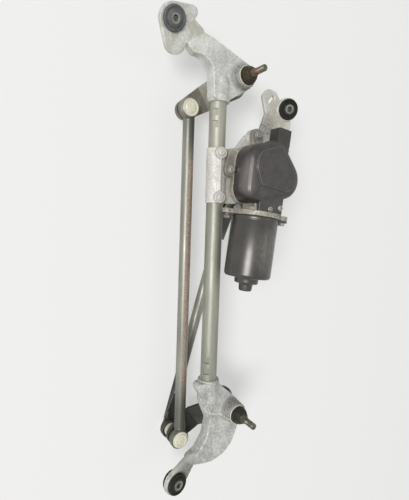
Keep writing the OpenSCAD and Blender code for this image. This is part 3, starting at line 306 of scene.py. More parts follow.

# %% [markdown]
# ## Cast aluminium
# The two pivot housings, the bracket and the gear housing are die castings that have been out in the
# weather. They are pale grey and matt, mottled a few millimetres across, with a fine pebbled skin,
# small dark pits, darker corners, and edges that are lighter partly from rubbing and partly as a
# painted highlight. Water left a yellow stain round the right grommet, painted shade darkens the sides
# of the bosses and a few other patches are darker, and a thin ridge crosses the left one where the two
# halves of the mould met; its pale line is a painted highlight.

# %% Cast aluminium
def cast_finish(name, dark, middle, light, stains=(), shade_and_dark_spots=(), ridge=None):
    """A weathered casting. Stains and dark spots (painted shade at the bosses) are (centre, reach,
    fade); the ridge adds its plane.
    """
    material, tree, shader, place = start_finish(name, metallic=0.2)
    clouds = noise(tree, place, 42, 5)
    mottle = noise(tree, place, 340, 6, harsh=0.72)
    pebble = noise(tree, place, 620, 3)
    mixed = both(tree, rise(tree, clouds, 0.2, 0.8, 0.0, 0.45),
                 rise(tree, mottle, 0.2, 0.8, 0.0, 0.55), "ADD")
    colour = tones(tree, mixed, [(0.36, dark), (0.5, middle), (0.64, light)])
    pits = rise(tree, noise(tree, place, 900, 2), 0.64, 0.72)
    colour = laid_over(tree, both(tree, pits, clouds), colour, tone(96, 94, 88))
    for where in stains:
        drying = rise(tree, noise(tree, place, 110, 6), 0.44, 0.62, 0.0, 0.8)
        wet = both(tree, near(tree, place, *where), drying)
        colour = laid_over(tree, wet, colour, tone(176, 173, 154))
    # Darker in corners and creases.
    darker_corners = edges(tree, 0.49, 0.42, 0.0, 0.7)
    # Lighter on outer edges: partly rubbed wear, partly a painted highlight.
    worn_and_highlit_edges = edges(tree, 0.52, 0.6, 0.0, 0.55)
    colour = laid_over(tree, darker_corners, colour, tone(112, 109, 100))
    colour = laid_over(tree, worn_and_highlit_edges, colour, tone(224, 224, 220))
    # Dark spots: round the bosses they are painted shade on the bosses' sides; elsewhere they darken a
    # patch.
    for where in shade_and_dark_spots:
        darkened_spot = both(tree, near(tree, place, *where), rise(tree, mottle, 0.4, 0.58, 0.3, 0.95))
        colour = laid_over(tree, darkened_spot, colour, tone(112, 111, 104))
    grain = both(tree, pebble, rise(tree, mottle, 0.3, 0.7, 0.0, 0.8), "ADD")
    if ridge:
        # The pale line along the parting ridge is a painted highlight.
        normal, offset, where = ridge
        line = both(tree, beside(tree, place, normal, offset, 2.0), near(tree, place, *where))
        colour = laid_over(tree, rise(tree, line, 0.3, 1.0, 0.0, 0.8), colour, tone(226, 226, 222))
    end_finish(tree, shader, colour, rise(tree, mixed, 0.38, 0.62, 0.66, 0.5), grain, 0.3, 0.4)
    return material

parting_normal = (0.966, -0.257, 0.0)
parting_offset = -8.42
parting_spot = (-3.4, 18.7, -37.5)
# Round each boss a dark spot paints the shade on the boss's side.
left_cast = cast_finish(
    "left_cast", tone(157, 158, 154), tone(182, 183, 178), tone(204, 205, 200),
    stains=[((-83, 80, -42), 14, 10)], shade_and_dark_spots=[((0, 0, -24), 16, 8), ((-74, 60, -42), 9, 14)],
    ridge=(parting_normal, parting_offset, (parting_spot, 17, 3)))
right_cast = cast_finish(
    "right_cast", tone(180, 181, 177), tone(200, 201, 197), tone(215, 216, 211),
    stains=[((478, 88, -42), 16, 26), ((406, 29, -40), 10, 12)], shade_and_dark_spots=[((440, 0, -34), 15.5, 6)])
bracket_cast = cast_finish(
    "bracket_cast", tone(182, 180, 173), tone(197, 195, 188), tone(210, 208, 201),
    stains=[((322, 2, -40), 18, 20), ((400, -66, -42), 16, 20)], shade_and_dark_spots=[((384, -44, -38), 8, 16)])
gearbox_cast = cast_finish(
    "gearbox_cast", tone(122, 117, 107), tone(156, 150, 138), tone(186, 180, 167),
    shade_and_dark_spots=[((326, 24, -30), 14, 10), ((368, -24, -30), 8, 8)])
print("cast finishes:", left_cast.name, right_cast.name, bracket_cast.name, gearbox_cast.name)

# %% [markdown]
# ## Steel finishes
# The tube is zinc-plated and dulled to a grey-green, paler by the right casting. The rods are bare
# pressed steel with dark ends: the link rod is rusted to a sandy brown along its motor side, and the
# drive rod is black where it flares. The levers and the crank are dipped in black and rubbed grey on
# their edges, and the right lever has lost most of its black. Screws, washers and sleeves are zinc.

# %% Zinc and the metals inside the motor
def plated_finish(name, dark, light, roughness, metallic, streak=(1, 1, 1), bloom=()):
    """Plated or plain metal, clouded and specked, with a pale bloom at each (centre, reach, fade)."""
    material, tree, shader, place = start_finish(name, metallic=metallic)
    clouds = noise(tree, place, 45, 5, streak)
    specks = noise(tree, place, 700, 2)
    colour = tones(tree, clouds, [(0.3, dark), (0.7, light)])
    for where in bloom:
        dusty = both(tree, near(tree, place, *where), rise(tree, clouds, 0.3, 0.6, 0.4, 0.8))
        colour = laid_over(tree, dusty, colour, tone(176, 174, 161))
    colour = laid_over(tree, rise(tree, specks, 0.62, 0.75, 0.0, 0.5), colour, tone(112, 110, 100))
    colour = laid_over(tree, edges(tree, 0.48, 0.38, 0.0, 0.45), colour, tone(96, 94, 84))
    gloss = rise(tree, clouds, 0.3, 0.7, roughness + 0.1, roughness - 0.06)
    end_finish(tree, shader, colour, gloss, specks, 0.1, 0.2)
    return material

tube_zinc = plated_finish("tube_zinc", tone(122, 123, 112), tone(162, 162, 150), 0.42, 0.35,
                          streak=(0.25, 1, 1), bloom=[((382, 29, -44), 26, 30)])
bright_zinc = plated_finish("bright_zinc", tone(118, 118, 113), tone(178, 178, 171), 0.42, 0.5)
pale_zinc = plated_finish("pale_zinc", tone(206, 204, 194), tone(236, 234, 226), 0.35, 0.3)
sleeve_zinc = plated_finish("sleeve_zinc", tone(92, 92, 87), tone(142, 142, 135), 0.42, 0.5)
bush_bronze = plated_finish("bush_bronze", tone(130, 98, 56), tone(172, 134, 84), 0.4, 0.8)
blade_copper = plated_finish("blade_copper", tone(150, 92, 54), tone(196, 132, 84), 0.35, 0.8)
magnet_ferrite = plated_finish("magnet_ferrite", tone(48, 48, 50), tone(66, 66, 68), 0.6, 0.0)
print("plated finishes ready")

# %% Spindles, with the rust that one of them shows
spindle_steel, tree, shader, place = start_finish("spindle_steel", metallic=0.6)
clouds = noise(tree, place, 160, 4)
grain = noise(tree, place, 900, 2)
steel_stops = [(0.3, tone(62, 60, 50)), (0.55, tone(104, 102, 90)), (0.75, tone(150, 148, 136))]
rusty_foot = near(tree, place, (440, -3, -10), 4, 6)
rust = both(tree, rusty_foot, rise(tree, noise(tree, place, 260), 0.4, 0.55))
colour = laid_over(tree, rust, tones(tree, clouds, steel_stops), tone(128, 58, 46))
end_finish(tree, shader, colour, rise(tree, clouds, 0.3, 0.7, 0.55, 0.35), grain, 0.1, 0.25)
print("finish:", spindle_steel.name)

# %% Rods: bare steel, one rusted along its motor side, one blackened at its end
def rod_finish(name, dark, middle, light, blackened, rusted):
    """Bare pressed steel, streaked along its length, dark near its ends."""
    material, tree, shader, place = start_finish(name, metallic=0.4)
    streaks = noise(tree, place, 60, 5, (0.12, 1, 1))
    colour = tones(tree, streaks, [(0.3, dark), (0.5, middle), (0.72, light)])
    flecks = noise(tree, place, 420, 5, harsh=0.7)
    if rusted:
        motor_side = rise(tree, along(tree, place, 1), 63.5 * mm, 60.5 * mm)
        length = along(tree, place, 0)
        right_part = rise(tree, length, 350 * mm, 320 * mm)
        left_part = rise(tree, length, 5 * mm, 45 * mm)
        patches = rise(tree, noise(tree, place, 110, 6, (0.3, 1, 1)), 0.36, 0.54, 0.4, 0.95)
        rusty = both(tree, motor_side, both(tree, right_part, left_part))
        rust = tones(tree, flecks, [(0.3, tone(96, 73, 61)), (0.42, tone(144, 117, 101)),
                                    (0.56, tone(168, 149, 134)), (0.7, tone(204, 195, 184))])
        colour = laid_over(tree, both(tree, rusty, patches), colour, rust)
        right_end = rise(tree, length, 330 * mm, 360 * mm, 0.0, 0.75)
        left_end = rise(tree, length, 40 * mm, 5 * mm, 0.0, 0.75)
        oily = both(tree, motor_side, both(tree, right_end, left_end, "ADD"))
        colour = laid_over(tree, oily, colour, tone(66, 66, 58))
    for *where, share in blackened:
        blackness = rise(tree, near(tree, place, *where), 0.0, 1.0, 0.0, share)
        streaky = both(tree, blackness, rise(tree, streaks, 0.3, 0.5, 0.8, 1.0))
        colour = laid_over(tree, streaky, colour, tone(50, 51, 46))
    # Lighter on the outer edges: a painted edge highlight.
    colour = laid_over(tree, edges(tree, 0.53, 0.62, 0.0, 0.4), colour, tone(190, 190, 180))
    end_finish(tree, shader, colour, rise(tree, streaks, 0.3, 0.7, 0.5, 0.34), flecks, 0.15, 0.3)
    return material

link_rod_steel = rod_finish(
    "link_rod_steel", tone(102, 102, 94), tone(134, 133, 124), tone(168, 167, 157),
    blackened=[((-42, 62, -66), 40, 60, 0.55), ((398, 62, -66), 16, 44, 0.42)], rusted=True)
drive_rod_steel = rod_finish(
    "drive_rod_steel", tone(104, 105, 96), tone(136, 136, 126), tone(168, 168, 157),
    blackened=[((-42, 62, -98), 90, 70, 0.95), ((275, -26, -98), 30, 40, 0.9)], rusted=False)
print("rod finishes:", link_rod_steel.name, drive_rod_steel.name)

# %% Levers and crank: worn black
def black_dip(name, dark, light, worn, share):
    """A thin black coat, worn through on its edges and, by its share, in patches."""
    material, tree, shader, place = start_finish(name, metallic=0.1)
    clouds = noise(tree, place, 60, 5)
    grain = noise(tree, place, 500, 3)
    scuffs = rise(tree, noise(tree, place, 180, 6), 0.7 - share, 0.86 - share)
    colour = tones(tree, clouds, [(0.3, dark), (0.7, light)])
    colour = laid_over(tree, both(tree, scuffs, clouds), colour, worn)
    colour = laid_over(tree, edges(tree, 0.52, 0.6, 0.0, 0.6), colour, worn)
    end_finish(tree, shader, colour, rise(tree, clouds, 0.3, 0.7, 0.5, 0.36), grain, 0.15, 0.25)
    return material

lever_black = black_dip("lever_black", tone(36, 37, 32), tone(58, 58, 51), tone(112, 111, 100), 0.08)
lever_worn = black_dip("lever_worn", tone(88, 86, 76), tone(138, 135, 123), tone(164, 161, 149), 0.16)
print("lever finishes:", lever_black.name, lever_worn.name)

# %% [markdown]
# ## Rubber, plastics and the motor's paint
# Rubber is dull with a dusty bloom, and the right dust cap has gone brown. The gear cover is black
# moulded plastic that has gone warm grey and half matt, with a fine grained skin, a paler patch
# painted on its tube-side shoulder as a highlight, and edges that are lighter partly from rubbing and
# partly as a painted highlight. The nylon sockets have yellowed to cream. The can is painted a brown
# black, smooth enough to show one broad highlight, and lightly scratched.

# %% Rubber and moulded plastic
def moulded_finish(name, dark, light, roughness, grain_scale, depth,
                   dust=None, edge_wear_and_highlight=None, sheen=0.45, shoulder_highlight=None, shoulder_highlight_spots=()):
    """Rubber or plastic, dusty; edges lighter (rubbed wear and painted highlight), corners darker, and a
    painted highlight at each (centre, reach, fade).
    """
    material, tree, shader, place = start_finish(name, specular=sheen)
    clouds = noise(tree, place, 70, 5)
    grain = noise(tree, place, grain_scale, 3)
    colour = tones(tree, clouds, [(0.3, dark), (0.7, light)])
    if dust:
        dusty = rise(tree, noise(tree, place, 240, 5), 0.52, 0.74, 0.0, 0.55)
        colour = laid_over(tree, dusty, colour, dust)
    # A paler patch painted at each spot stands for a highlight.
    for where in shoulder_highlight_spots:
        painted_highlight = both(tree, near(tree, place, *where), rise(tree, clouds, 0.3, 0.6, 0.55, 0.9))
        colour = laid_over(tree, painted_highlight, colour, shoulder_highlight)
    # Lighter on outer edges, partly rubbed wear and partly a painted highlight; darker in the corners.
    if edge_wear_and_highlight:
        colour = laid_over(tree, edges(tree, 0.515, 0.57, 0.0, 0.75), colour, edge_wear_and_highlight)
        colour = laid_over(tree, edges(tree, 0.49, 0.43, 0.0, 0.7), colour, dark)
    gloss = rise(tree, clouds, 0.3, 0.7, roughness + 0.08, roughness - 0.06)
    end_finish(tree, shader, colour, gloss, grain, depth, 0.3)
    return material

black_rubber = moulded_finish("black_rubber", tone(26, 26, 22), tone(40, 39, 34), 0.6, 600, 0.15,
                              dust=tone(62, 60, 53), sheen=0.2)
grey_rubber = moulded_finish("grey_rubber", tone(74, 76, 76), tone(96, 98, 98), 0.7, 600, 0.15,
                             dust=tone(120, 121, 118))
cap_rubber = moulded_finish("cap_rubber", tone(28, 27, 21), tone(52, 49, 38), 0.4, 500, 0.15,
                            dust=tone(84, 80, 64), sheen=0.25)
brown_rubber = moulded_finish("brown_rubber", tone(36, 32, 21), tone(68, 61, 42), 0.4, 500, 0.15,
                              dust=tone(104, 97, 74), sheen=0.25)
# The two spots on the cover's tube-side shoulder are a painted highlight, and so, in part, are its
# lighter edges.
cover_plastic = moulded_finish("cover_plastic", tone(40, 37, 36), tone(62, 57, 56), 0.36, 900, 0.08,
                               dust=tone(80, 74, 73), edge_wear_and_highlight=tone(150, 144, 141), sheen=0.6,
                               shoulder_highlight=tone(108, 100, 99),
                               shoulder_highlight_spots=[((322, 20, -2), 8, 12), ((306, 18, -2), 8, 12)])
# The connector's lighter edges are partly rubbed wear and partly a painted highlight.
connector_plastic = moulded_finish("connector_plastic", tone(46, 43, 41), tone(62, 58, 55),
                                   0.42, 900, 0.1, edge_wear_and_highlight=tone(112, 108, 104))
cream_nylon = moulded_finish("cream_nylon", tone(204, 200, 176), tone(226, 223, 206), 0.4, 500, 0.08,
                             dust=tone(184, 178, 150))
board_brown = moulded_finish("board_brown", tone(86, 70, 50), tone(104, 86, 62), 0.6, 600, 0.1)
print("moulded finishes ready")

# %% Motor can: brown-black paint
can_paint, tree, shader, place = start_finish("can_paint", metallic=0.4, specular=1.0)
clouds = noise(tree, place, 38, 5)
grain = noise(tree, place, 700, 3)
scratches = rise(tree, noise(tree, place, 200, 6, (0.35, 1, 1)), 0.62, 0.78)
colour = tones(tree, clouds, [(0.3, tone(50, 47, 43)), (0.7, tone(70, 66, 61))])
colour = laid_over(tree, both(tree, scratches, clouds), colour, tone(128, 122, 114))
scuffs = rise(tree, noise(tree, place, 320, 6, (0.5, 1, 1), 0.75), 0.42, 0.62, 0.15, 0.8)
scuffed = both(tree, scuffs, near(tree, place, (219, -27, 6), 18, 24))
colour = laid_over(tree, scuffed, colour, tone(122, 120, 111))
end_finish(tree, shader, colour, rise(tree, clouds, 0.3, 0.7, 0.36, 0.28), grain, 0.12, 0.12)
print("finish:", can_paint.name)

# %% [markdown]
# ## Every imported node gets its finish
# Nodes whose shape is right already only need the right material. The ones that are hidden inside get
# theirs too, because the part may be taken apart.

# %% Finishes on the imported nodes
def dress(material, *names):
    """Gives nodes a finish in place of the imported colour."""
    for name in names:
        mesh = nodes[name].data
        mesh.materials.clear()
        mesh.materials.append(material)

dress(left_cast, "left_pivot_housing")
dress(right_cast, "right_pivot_housing")
dress(bracket_cast, "motor_bracket", "saddle_screws")
dress(gearbox_cast, "gear_housing")
dress(tube_zinc, "frame_tube")
dress(pale_zinc, "left_retaining_washer", "right_retaining_washer")
dress(sleeve_zinc, "left_grommet_sleeve", "motor_grommet_sleeve")
dress(bright_zinc, "right_grommet_sleeve", "cover_screws", "can_bolts", "motor_mount_bolts",
      "front_bearing", "armature_shaft", "output_shaft", "crank_nut", "crank_stud", "left_ball_stud",
      "right_ball_stud", "crank_ball", "armature_core")
dress(spindle_steel, "left_pivot_shaft", "right_pivot_shaft")
dress(bush_bronze, "left_pivot_bushes", "right_pivot_bushes", "rear_bush", "worm_end_bush",
      "output_bush")
dress(blade_copper, "connector_terminals", "armature_windings", "commutator")
dress(magnet_ferrite, "field_magnets", "brushes")
dress(board_brown, "brush_card")
dress(black_rubber, "left_grommet", "motor_grommet")
dress(grey_rubber, "right_grommet")
dress(cap_rubber, "left_dust_cap")
dress(brown_rubber, "right_dust_cap")
dress(cover_plastic, "gear_cover")
dress(connector_plastic, "connector_socket")
dress(can_paint, "motor_can")
dress(cream_nylon, "worm_wheel", "left_thrust_washer", "right_thrust_washer", "link_left_socket",
      "link_right_socket", "drive_lever_socket", "drive_crank_socket")
dress(lever_black, "left_lever", "crank_arm")
dress(lever_worn, "right_lever")
dress(drive_rod_steel, "drive_rod")
dress(link_rod_steel, "link_rod")
print("dressed", sum(1 for o in nodes.values() if o.data.materials), "nodes")

# %% [markdown]
# ## Soft edges on castings, pressings and mouldings
# No casting, pressing, moulding or forging has knife edges. Bevelling each edge of such a shape by
# hand would take days, so a copy of the node is remeshed with small voxels and smoothed a little,
# which rounds every edge by about a millimetre as a mould does. A copy comes as loose triangles, so
# it is merged first, and a crumb that the voxels leave loose is deleted: what is linked to the
# outermost point stays. The left casting also gets its parting ridge, a line of points pushed out by
# half a millimetre, and its arm is smoothed where it runs into the eye.

# %% Picking objects and points
def pick(piece):
    """Selects one object alone and makes it the active one."""
    deselect()
    piece.select_set(True)
    bpy.context.view_layer.objects.active = piece

def pick_points(piece, wanted):
    """Enters edit mode with only the wanted points selected."""
    pick(piece)
    bpy.ops.object.mode_set(mode="EDIT")
    bpy.ops.mesh.select_mode(type="VERT")
    bpy.ops.mesh.select_all(action="DESELECT")
    mesh = bmesh.from_edit_mesh(piece.data)
    for v in mesh.verts:
        v.select = wanted(v.co)
    bmesh.update_edit_mesh(piece.data)

print("picking ready")

# %% Softened copies
def softened(node, name, body, slot, voxel, rounds, faces):
    """A copy of a node with its edges rounded, which stands for the node."""
    piece = nodes[node].copy()
    piece.data = nodes[node].data.copy()
    piece.parent = None
    piece.name = name
    piece.data.name = name
    for key in list(piece.keys()):
        del piece[key]
    bpy.context.scene.collection.objects.link(piece)
    pick(piece)
    bpy.ops.object.mode_set(mode="EDIT")
    bpy.ops.mesh.select_all(action="SELECT")
    bpy.ops.mesh.remove_doubles(threshold=0.01 * mm)
    bpy.ops.object.mode_set(mode="OBJECT")
    remesh = piece.modifiers.new("voxels", "REMESH")
    remesh.mode = "VOXEL"
    remesh.voxel_size = voxel * mm
    bpy.ops.object.modifier_apply(modifier="voxels")
    outermost = max(v.co.x for v in piece.data.vertices)
    pick_points(piece, lambda point: point.x == outermost)
    bpy.ops.mesh.select_linked()
    bpy.ops.mesh.select_all(action="INVERT")
    bpy.ops.mesh.delete(type="VERT")
    bpy.ops.object.mode_set(mode="OBJECT")
    soften = piece.modifiers.new("soften", "SMOOTH")
    soften.factor = 0.5
    soften.iterations = rounds
    bpy.ops.object.modifier_apply(modifier="soften")
    if len(piece.data.polygons) > faces:
        thin = piece.modifiers.new("thin", "DECIMATE")
        thin.ratio = faces / (2 * len(piece.data.polygons))
        bpy.ops.object.modifier_apply(modifier="thin")
    bpy.ops.object.shade_smooth()
    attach(piece, body)
    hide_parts(node)
    print(name, len(piece.data.polygons), "faces")
    return piece

print("softening ready")

# %% The left casting and its parting ridge
left_casting = softened("left_pivot_housing", "left_pivot_casting", "frame", "cast_aluminium",
                        0.8, 10, 70000)
ridge_middle = Vector(parting_spot) * mm

def on_ridge(point):
    """True within 1 mm of the parting plane and 20 mm of the ridge's middle."""
    off_plane = point.dot(Vector(parting_normal)) - parting_offset * mm
    return abs(off_plane) < 1.0 * mm and (point - ridge_middle).length < 20 * mm

pick_points(left_casting, on_ridge)
bpy.ops.transform.shrink_fatten(value=0.45 * mm)
bpy.ops.object.mode_set(mode="OBJECT")
print("parting ridge raised on", left_casting.name)

# %% The arm's foot runs smoothly into the eye
arm_foot = Vector((-52, 60, -40)) * mm
pick_points(left_casting, lambda point: (point - arm_foot).length < 11 * mm)
bpy.ops.mesh.vertices_smooth(factor=0.5, repeat=40)
bpy.ops.object.mode_set(mode="OBJECT")
print("arm smoothed near the left eye")

# %% The other softened copies: node, piece, body, slot, voxel in mm, rounds, most faces
softened_rows = [
    ("right_pivot_housing", "right_pivot_casting", "frame", "cast_aluminium", 0.8, 10, 70000),
    ("motor_bracket", "motor_bracket_casting", "frame", "cast_aluminium", 0.8, 4, 60000),
    ("gear_housing", "gear_housing_casting", "frame", "cast_aluminium", 0.8, 4, 60000),
    ("gear_cover", "gear_cover_moulding", "frame", "black_plastic", 0.6, 6, 80000),
    ("connector_socket", "connector_moulding", "frame", "black_plastic", 0.3, 3, 40000),
    ("left_lever", "left_lever_pressing", "left_rocker", "lever_steel", 0.5, 4, 30000),
    ("right_lever", "right_lever_pressing", "right_rocker", "lever_steel", 0.5, 4, 30000),
    ("crank_arm", "crank_arm_pressing", "crank", "lever_steel", 0.5, 4, 20000),
    ("link_rod", "link_rod_pressing", "link_rod", "rod_steel", 0.6, 3, 60000),
    ("drive_rod", "drive_rod_pressing", "drive_rod", "rod_steel", 0.6, 3, 60000),
    ("left_ball_stud", "left_ball_forging", "left_rocker", "zinc_steel", 0.4, 2, 20000),
    ("right_ball_stud", "right_ball_forging", "right_rocker", "zinc_steel", 0.4, 2, 20000),
    ("crank_ball", "crank_ball_forging", "drive_rod", "zinc_steel", 0.4, 2, 20000),
]
for row in softened_rows:
    softened(*row)

# %% [markdown]
# ## Turned pieces
# Grommets, sleeves, spindles, caps, sockets and the motor can are all round about one axis. Each is
# drawn as an outline of radius and height, in millimetres, and made as on a lathe: a circle of edges
# is extruded to the next height and scaled to the next radius, over and over. It is turned about Z at
# the origin, then carried to its place, and the place is applied to the mesh.

# %% A lathe of extrusions
def turned(name, outline, sides=64, closed=False):
    """A turned piece about Z. An open outline is capped at both ends, a closed one is a ring."""
    deselect()
    start_radius, start_height = outline[0]
    bpy.ops.mesh.primitive_circle_add(vertices=sides, radius=start_radius * mm, fill_type="NOTHING")
    piece = bpy.context.object
    piece.name = name
    piece.data.name = name
    bpy.ops.object.mode_set(mode="EDIT")
    bpy.ops.mesh.select_all(action="SELECT")
    bpy.ops.transform.translate(value=(0, 0, start_height * mm))
    if not closed:
        bpy.ops.mesh.edge_face_add()
        bpy.ops.mesh.select_all(action="DESELECT")
        bpy.ops.mesh.select_mode(type="EDGE")
        bpy.ops.mesh.select_all(action="SELECT")
        bpy.ops.mesh.extrude_edges_move()
    stops = outline + outline[:1] if closed else outline
    for (radius, height), (next_radius, next_height) in zip(stops, stops[1:]):
        grow = next_radius / radius
        if closed or (radius, height) != outline[0]:
            bpy.ops.mesh.extrude_edges_move()
        bpy.ops.transform.translate(value=(0, 0, (next_height - height) * mm))
        bpy.ops.transform.resize(value=(grow, grow, 1), center_override=(0, 0, 0))
    if not closed:
        bpy.ops.mesh.edge_face_add()
    bpy.ops.mesh.select_all(action="SELECT")
    bpy.ops.mesh.remove_doubles(threshold=0.001 * mm)
    bpy.ops.mesh.normals_make_consistent(inside=False)
    bpy.ops.object.mode_set(mode="OBJECT")
    return piece

def pinched(piece, sides, every, low, high, share):
    """Draws in every so many of a piece's lines of points between two heights, for ribs and splines."""
    def on_line(point):
        line = round(math.degrees(math.atan2(point.y, point.x)) / (360 / sides))
        return low * mm < point.z < high * mm and line % every == 0

    pick_points(piece, on_line)
    bpy.ops.transform.resize(value=(share, share, 1), center_override=(0, 0, 0))
    bpy.ops.object.mode_set(mode="OBJECT")

def placed(piece, place, body, slot, material, *stands_for):
    """Carries a piece to its place, applies it, and says what it rides on and stands for."""
    pick(piece)
    piece.matrix_world = place
    bpy.ops.object.transform_apply(location=True, rotation=True, scale=True)
    bpy.ops.object.shade_smooth_by_angle(angle=math.radians(40))
    piece.data.materials.clear()
    piece.data.materials.append(material)
    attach(piece, body)
    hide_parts(*stands_for)
    print(piece.name, len(piece.data.polygons), "faces")

def twin(piece, name):
    """A copy with its own mesh."""
    copy = piece.copy()
    copy.data = piece.data.copy()
    copy.name = name
    copy.data.name = name
    bpy.context.scene.collection.objects.link(copy)
    return copy

def spot(x, y, z, *turns):
    """A place in millimetres, with turns given as (degrees, axis)."""
    place = Matrix.Translation((x * mm, y * mm, z * mm))
    for degrees, axis in turns:
        place = place @ Matrix.Rotation(math.radians(degrees), 4, axis)
    return place

pivot_spacing = 440
left_eye = spot(-83, 80, -42, (11, "X"))
right_eye = spot(486, 100, -42, (-20, "Y"))
motor_eye = spot(414, -77, -39, (-12, "Y"), (-14, "X"))
print("lathe ready, pivots", pivot_spacing, "mm apart")

# %% [markdown]
# ## Grommets and sleeves
# The frame hangs in the car on three rubber grommets, each with two flanges that grip the cast eye
# and a steel sleeve that keeps the bolt from crushing it. The rubber's rims are well rounded and a
# shallow ring runs round each face. On the right one the rubber has crept up to the end of its
# sleeve.

# %% Grommets
half_grommet = [(10.9, 3.2), (11.2, 3.5), (12.6, 3.52), (13.5, 3.8), (13.9, 4.5), (14, 5.4),
                (13.9, 6.5), (13.4, 7.4), (12.5, 7.9), (11.6, 8), (11.2, 7.8), (10.9, 7.1),
                (9.8, 7.0), (9.5, 7.7), (9.0, 8), (6.56, 8)]
under_half = [(r, -h) for r, h in reversed(half_grommet)]
black_grommet = turned("left_grommet_rubber", under_half + half_grommet, 72, closed=True)
motor_rubber = twin(black_grommet, "motor_grommet_rubber")
crept = half_grommet[:-3] + [(9.6, 7.9), (8.6, 8.4), (7.6, 9.0), (6.8, 9.6), (6.2, 9.85), (5.7, 9.8),
                             (5.5, 9.56), (6.56, 9.56)]
grey_grommet = turned("right_grommet_rubber", under_half + crept, 72, closed=True)
placed(black_grommet, left_eye, "frame", "rubber", black_rubber, "left_grommet")
placed(motor_rubber, motor_eye, "frame", "rubber", black_rubber, "motor_grommet")
placed(grey_grommet, right_eye, "frame", "rubber", grey_rubber, "right_grommet")

# %% Sleeves
sleeve_outline = [(3.3, -9.2), (3.6, -9.5), (9.1, -9.5), (9.5, -9.1), (9.5, -8.3), (9.2, -8.02),
                  (6.5, -8.0), (6.5, 9.0), (6.1, 9.5), (3.8, 9.5), (3.3, 9.0)]
left_sleeve = turned("left_sleeve", sleeve_outline, 48, closed=True)
right_sleeve = twin(left_sleeve, "right_sleeve")
motor_sleeve = twin(left_sleeve, "motor_sleeve")
placed(left_sleeve, left_eye, "frame", "zinc_steel", sleeve_zinc, "left_grommet_sleeve")
placed(right_sleeve, right_eye, "frame", "zinc_steel", bright_zinc, "right_grommet_sleeve")
placed(motor_sleeve, motor_eye, "frame", "zinc_steel", sleeve_zinc, "motor_grommet_sleeve")

# %% [markdown]
# ## Spindles, washers and dust caps
# A wiper arm sits on each spindle's splined cone and is held by a nut on the thread above. The thread
# is turned as a stack of ridges, which looks the same from any side, and the splines are every second
# line of points on the cone drawn in. A ribbed rubber cap keeps water out of the bearing below. It
# sits on a bright washer, whose beaded edge shows round it as a pale ring.

# %% Spindles
def spindle(name, seat, body, x, stands_for):
    """A spindle whose arm seat is at a height: rivet end, shaft, splined cone, thread and tip."""
    root, crest, pitch, ridges, sides = 3.5, 3.98, 1.25, 12, 48
    rivet = [(7.2, -68.5), (8, -67.8), (8, -66.6), (7.6, -66.01), (4.52, -66.0), (4.52, -61), (6, -60.9)]
    cone = [(6, seat - 8.2), (6, seat - 7.8), (5.6, seat - 6), (5.0, seat - 3), (4.5, seat - 0.6),
            (4.3, seat - 0.2), (root, seat + 0.2)]
    thread = []
    for ridge in range(ridges):
        foot = seat + 1.0 + ridge * pitch
        thread += [(root, foot), (crest, foot + 0.5), (crest, foot + 0.75)]
    tip = [(3.4, seat + 16.0), (2.9, seat + 16.5), (1.2, seat + 16.5), (0.6, seat + 15.8)]
    piece = turned(name, rivet + cone + thread + tip, sides)
    pinched(piece, sides, 2, seat - 7.9, seat - 0.4, 0.93)
    placed(piece, spot(x, 0, 0), body, "zinc_steel", spindle_steel, stands_for)

spindle("left_spindle", 0, "left_rocker", 0, "left_pivot_shaft")
spindle("right_spindle", -11, "right_rocker", pivot_spacing, "right_pivot_shaft")

# %% Washers
def washer(name, foot, body, x, stands_for):
    """The bright washer under a cap, with a bead round its edge that the cap sits inside."""
    outline = [(6.1, foot), (12.2, foot), (12.5, foot + 0.3), (12.5, foot + 1.2), (12.2, foot + 1.6),
               (11.9, foot + 1.6), (11.65, foot + 1.3), (11.6, foot + 0.98), (6.1, foot + 0.98)]
    piece = turned(name, outline, 64, closed=True)
    placed(piece, spot(x, 0, 0), body, "zinc_steel", pale_zinc, stands_for)

washer("left_washer", -19.7, "left_rocker", 0, "left_retaining_washer")
washer("right_washer", -29.7, "right_rocker", pivot_spacing, "right_retaining_washer")

# %% Dust caps
def dust_cap(name, foot, neck, body, x, rubber, stands_for):
    """A cap from its foot on the washer to its neck round the shaft, ribbed round its skirt."""
    sides = 72
    height = neck - foot
    outline = [(9.9, foot), (11.3, foot), (11.5, foot + 0.3), (11.5, foot + 1.2), (11.1, foot + 1.5),
               (11.0, foot + 0.42 * height), (10.3, foot + 0.58 * height), (9.2, foot + 0.74 * height),
               (8.3, neck - 1.4), (7.8, neck - 0.4), (7.3, neck), (6.1, neck), (6.1, neck - 1.6),
               (9.6, foot + 0.34 * height)]
    piece = turned(name, outline, sides, closed=True)
    pinched(piece, sides, 3, foot + 1.4, neck - 1.2, 0.93)
    placed(piece, spot(x, 0, 0), body, "rubber", rubber, stands_for)

dust_cap("left_cap", -18.7, -7, "left_rocker", 0, cap_rubber, "left_dust_cap")
dust_cap("right_cap", -28.7, -18, "right_rocker", pivot_spacing, brown_rubber, "right_dust_cap")

# %% [markdown]
# ## Nylon sockets
# The rods snap onto the ball studs with nylon sockets, yellowed by grease, whose crowns show in the
# eyes as discs with a raised rim. They are turned with a hollow for the ball. On the right end of the
# link rod a rolled steel rim stands round the socket, and the nylon inside it is dished.

